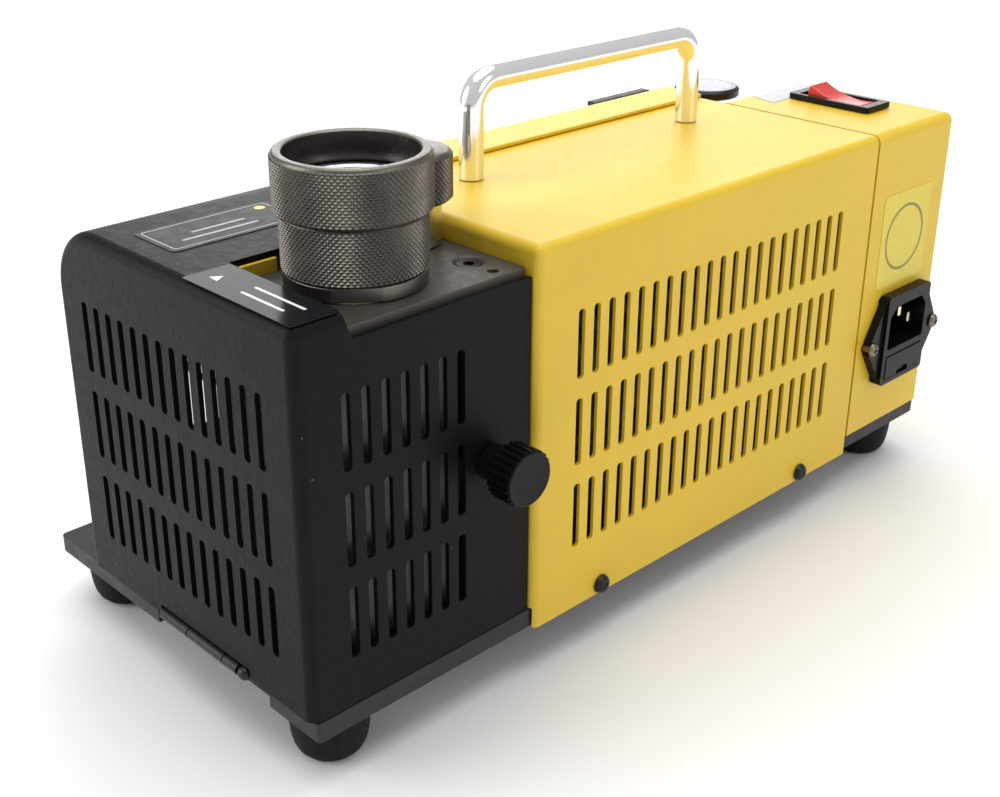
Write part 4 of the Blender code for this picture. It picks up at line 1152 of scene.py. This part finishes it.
def make_angle_station():
    refined("angle_base", "grey_coat", 0.4)
    pivot, clamp = joint_place("angle_swivel"), middle("angle_clamp")
    lean = math.atan2(clamp.x - pivot.x, clamp.y - pivot.y)
    reach = math.hypot(clamp.x - pivot.x, clamp.y - pivot.y)
    place = at(pivot.x, pivot.y, 0) @ Matrix.Rotation(-lean, 4, "Z")
    height, outer, bore = 52.0, 19.5, CHUCK_BORE
    start, end = 48.0, 62.0
    rows = [(bore, start), (outer - 0.8, start), (outer, start + 0.8), (outer, start + 2.4),
            (outer - 0.6, start + 2.7), (outer - 0.6, start + 3.2)]
    rows += knurl_rows(outer, start + 3.5, end - 2.4)
    rows += [(outer - 0.6, end - 2.1), (outer, end - 1.8), (outer, end - 0.6), (outer - 0.6, end), (bore + 0.8, end),
             (bore, end - 0.8)]
    collar = revolve("angle_holder_collar", rows, Vector((0, 0, height)), ACROSS, knurl_segments(outer))
    collar.data.transform(place)
    hang(collar, "angle_holder", "knurled_steel")
    web = block("angle_holder_web", (-5, start + 2.5, 8), (5, end - 2.5, 40))
    join(web, block("foot", (-9, 39, 6.3), (9, end - 2.5, 12)))
    for side, fillet in ((-1, [(-4, 0), (0, 0), (0, 4)]), (1, [(0, 0), (4, 0), (0, 4)])):
        join(web, slab("fillet", fillet, on_wall(side * 4.99, end - 2.6, 11.9), 8.8))
    cut(web, rod("seat", (0, 30, height), ACROSS, 50, outer - 0.5, 96),
        rod("clamp_hole", (0, reach, 0), UP, 20, 2.4, 32))
    web.data.transform(place)
    fit(web, "angle_holder", "cast_alloy", 0.6, 3)

    low, high = span("angle_clamp")
    skirt = slab("ribbed_angle_clamp", ribbed_outline(6.2, 0.5, 18), at(clamp.x, clamp.y, high.z - 7.9), 5.9)
    rows = [(0.0, high.z - 3.0), (5.9, high.z - 3.0), (5.9, high.z - 1.6), (5.4, high.z - 0.6), (4.4, high.z),
            (0.0, high.z)]
    join(skirt, revolve("cap", rows, Vector((clamp.x, clamp.y, 0)), UP, 64),
         rod("stem", (clamp.x, clamp.y, low.z), UP, high.z - low.z - 2, 2.0, 32))
    fit(skirt, "angle_clamp", "moulded_black", 0.2)


def make_gauge():
    refined("gauge_bracket", "grey_coat", 0.5)
    low, high = span("gauge_socket")
    centre, outer, bore = (low + high) / 2, (high.x - low.x) / 2, CHUCK_BORE
    rows = [(bore, low.y), (outer - 0.4, low.y), (outer, low.y + 0.4), (outer, low.y + 3.0),
            (outer - 0.6, low.y + 3.3), (outer - 0.6, low.y + 3.8)]
    rows += knurl_rows(outer, low.y + 4.1, high.y - 2.4)
    rows += [(outer - 0.6, high.y - 2.1), (outer, high.y - 1.8), (outer, high.y - 0.7), (outer - 0.7, high.y),
             (bore + 1.0, high.y), (bore, high.y - 1.0)]
    socket = revolve("knurled_gauge_socket", rows, Vector((centre.x, 0, centre.z)), ACROSS, knurl_segments(outer))
    fit(socket, "gauge_socket", "knurled_steel")
    low, high = span("gauge_post")
    post = (low + high) / 2
    centre = Vector((post.x, post.y, 0))
    rows = [(0.0, low.z), (8.7, low.z), (9.0, low.z + 0.3), (9.0, 3.6), (8.6, 4.0), (6.2, 4.3), (5.3, 5.0),
            (5.0, 6.2), (5.0, high.z - 2.4), (2.0, high.z - 2.4), (2.0, high.z), (0.0, high.z)]
    fit(revolve("turned_gauge_post", rows, centre, UP, 64), "gauge_post", "turned_steel")
    low, high = span("gauge_dial")
    radius = (high.x - low.x) / 2
    rows = [(2.4, low.z), (radius - 0.5, low.z), (radius, low.z + 0.5), (radius, high.z - 1.0),
            (radius - 0.3, high.z - 0.6), (radius - 1.1, high.z), (0.0, high.z), (0.0, high.z - 1.2),
            (2.4, high.z - 1.2)]
    fit(revolve("setting_dial", rows, centre, UP, 96), "gauge_dial", "black_oxide")
    face_low, face_high, face_edge = high.z - 0.1, high.z + 0.05, radius - 1.6
    rows = [(0.0, face_low), (face_edge, face_low), (face_edge, face_high), (0.0, face_high)]
    disc = revolve("setting_dial_face", rows, centre, UP, 96)
    hang(disc, "gauge_dial", "label_lilac")
    marks = []
    for mark in range(36):
        long = 2.4 if mark % 9 == 0 else 1.2
        turned = at(*centre) @ Matrix.Rotation(math.radians(10 * mark), 4, "Z")
        marks.append(slab("mark", rounded_outline(long, 0.22, 0.08, 2),
                          turned @ at(radius - 2.0 - long / 2, 0, high.z - 0.01), 0.1))
    hang(merged("setting_dial_marks", marks), "gauge_dial", "black_oxide")


# ---------------------------------------------------------------- stage
def make_stage():
    settings = bpy.context.scene.sharpener_stage
    scene = bpy.context.scene
    camera = bpy.data.objects.new("camera", bpy.data.cameras.new("camera"))
    camera.location = settings.camera_place
    camera.rotation_euler = settings.camera_turn
    camera.data.sensor_width = 36.0
    camera.data.lens = settings.lens
    camera.data.shift_x, camera.data.shift_y = settings.shift
    camera.data.clip_start = 0.01
    scene.collection.objects.link(camera)
    scene.camera = camera
    scene.view_settings.view_transform = "Standard"

    bm = bmesh.new()
    bmesh.ops.create_grid(bm, x_segments=8, y_segments=8, size=6.0)
    floor = mesh_object("floor", bm)
    made = Finish("floor_paint", tuple(settings.floor), 0.9)
    floor.data.materials.append(made.tint(400.0, 0.99, 1.01).material)

    for name, place, size, power, colour in LIGHTS:
        lamp = bpy.data.lights.new(name, "AREA")
        lamp.shape = "DISK"
        lamp.size = size
        lamp.energy = power * settings.light_share
        lamp.color = colour
        item = bpy.data.objects.new(name, lamp)
        item.location = place
        item.rotation_euler = (Vector(LIGHTS_AIM) - Vector(place)).to_track_quat("-Z", "Y").to_euler()
        scene.collection.objects.link(item)
    world = bpy.data.worlds.new("studio")
    world.use_nodes = True
    world.node_tree.nodes["Background"].inputs["Color"].default_value = (1.0, 1.0, 1.0, 1.0)
    world.node_tree.nodes["Background"].inputs["Strength"].default_value = SKY_STRENGTH
    scene.world = world


# ---------------------------------------------------------------- add-on
class SHARPENER_OT_stage(bpy.types.Operator):
    """Adds the camera, the lights and the floor."""

    bl_idname = "sharpener.stage"
    bl_label = "Stage"
    bl_options = {"REGISTER", "UNDO"}

    def execute(self, context):
        make_stage()
        return {"FINISHED"}


class SHARPENER_OT_base(bpy.types.Operator):
    """Builds the base plate and its four feet."""

    bl_idname = "sharpener.base"
    bl_label = "Base and feet"
    bl_options = {"REGISTER", "UNDO"}

    def execute(self, context):
        make_base()
        return {"FINISHED"}


class SHARPENER_OT_grinding_cover(bpy.types.Operator):
    """Builds the slotted black cover with its labels."""

    bl_idname = "sharpener.grinding_cover"
    bl_label = "Grinding cover"
    bl_options = {"REGISTER", "UNDO"}

    def execute(self, context):
        make_grinding_cover()
        make_cover_labels()
        return {"FINISHED"}


class SHARPENER_OT_cover_lock(bpy.types.Operator):
    """Builds the ribbed lock knob and the hinge."""

    bl_idname = "sharpener.cover_lock"
    bl_label = "Cover lock and hinge"
    bl_options = {"REGISTER", "UNDO"}

    def execute(self, context):
        make_lock_knob()
        make_hinge()
        return {"FINISHED"}


class SHARPENER_OT_main_cover(bpy.types.Operator):
    """Builds the yellow cover and the panel that laps it."""

    bl_idname = "sharpener.main_cover"
    bl_label = "Main cover"
    bl_options = {"REGISTER", "UNDO"}

    def execute(self, context):
        make_main_cover()
        make_front_panel()
        return {"FINISHED"}


class SHARPENER_OT_rear_box(bpy.types.Operator):
    """Builds the electrical box with its labels."""

    bl_idname = "sharpener.rear_box"
    bl_label = "Rear box"
    bl_options = {"REGISTER", "UNDO"}

    def execute(self, context):
        make_rear_box()
        return {"FINISHED"}


class SHARPENER_OT_guard(bpy.types.Operator):
    """Builds the inner guard and the lock bracket."""

    bl_idname = "sharpener.guard"
    bl_label = "Wheel guard"
    bl_options = {"REGISTER", "UNDO"}

    def execute(self, context):
        make_wheel_guard()
        return {"FINISHED"}


class SHARPENER_OT_station(bpy.types.Operator):
    """Builds the deck, the knurled rings and the stop post."""

    bl_idname = "sharpener.station"
    bl_label = "Upright station"
    bl_options = {"REGISTER", "UNDO"}

    def execute(self, context):
        make_deck()
        make_station()
        make_stop_post()
        return {"FINISHED"}


class SHARPENER_OT_handle(bpy.types.Operator):
    """Builds the carrying handle."""

    bl_idname = "sharpener.handle"
    bl_label = "Handle"
    bl_options = {"REGISTER", "UNDO"}

    def execute(self, context):
        make_handle()
        return {"FINISHED"}


class SHARPENER_OT_switch(bpy.types.Operator):
    """Builds the rocker switch."""

    bl_idname = "sharpener.switch"
    bl_label = "Switch"
    bl_options = {"REGISTER", "UNDO"}

    def execute(self, context):
        make_switch()
        return {"FINISHED"}


class SHARPENER_OT_inlet(bpy.types.Operator):
    """Builds the inlet, its pins and its fuse drawer."""

    bl_idname = "sharpener.inlet"
    bl_label = "Mains inlet"
    bl_options = {"REGISTER", "UNDO"}

    def execute(self, context):
        make_inlet()
        return {"FINISHED"}


class SHARPENER_OT_motor(bpy.types.Operator):
    """Builds the motor, the shaft and the wheel."""

    bl_idname = "sharpener.motor"
    bl_label = "Motor and wheel"
    bl_options = {"REGISTER", "UNDO"}

    def execute(self, context):
        make_motor()
        make_wheel()
        return {"FINISHED"}


class SHARPENER_OT_operator_side(bpy.types.Operator):
    """Builds the point-angle holder and the setting gauge."""

    bl_idname = "sharpener.operator_side"
    bl_label = "Operator's side"
    bl_options = {"REGISTER", "UNDO"}

    def execute(self, context):
        make_angle_station()
        make_gauge()
        return {"FINISHED"}


STEPS = (SHARPENER_OT_stage, SHARPENER_OT_base, SHARPENER_OT_grinding_cover, SHARPENER_OT_cover_lock,
         SHARPENER_OT_main_cover, SHARPENER_OT_rear_box, SHARPENER_OT_guard, SHARPENER_OT_station,
         SHARPENER_OT_handle, SHARPENER_OT_switch, SHARPENER_OT_inlet, SHARPENER_OT_motor,
         SHARPENER_OT_operator_side)


class SHARPENER_PT_sidebar(bpy.types.Panel):
    """Lists the pieces in the sidebar."""

    bl_label = "Drill Bit Sharpener"
    bl_space_type = "VIEW_3D"
    bl_region_type = "UI"
    bl_category = "Sharpener"

    def draw(self, context):
        for group in GROUPS:
            settings = getattr(context.scene, group)
            for name in settings.__annotations__:
                self.layout.prop(settings, name)
        for operator in STEPS:
            self.layout.operator(operator.bl_idname)


CLASSES = (*GROUPS.values(), *STEPS, SHARPENER_PT_sidebar)


def register():
    for item in CLASSES:
        bpy.utils.register_class(item)
    for name, group in GROUPS.items():
        setattr(bpy.types.Scene, name, bpy.props.PointerProperty(type=group))


def unregister():
    for name in GROUPS:
        delattr(bpy.types.Scene, name)
    for item in reversed(CLASSES):
        bpy.utils.unregister_class(item)


def main():
    register()
    for operator in STEPS:
        getattr(bpy.ops.sharpener, operator.bl_idname.split(".")[1])()


if __name__ == "__main__":
    main()
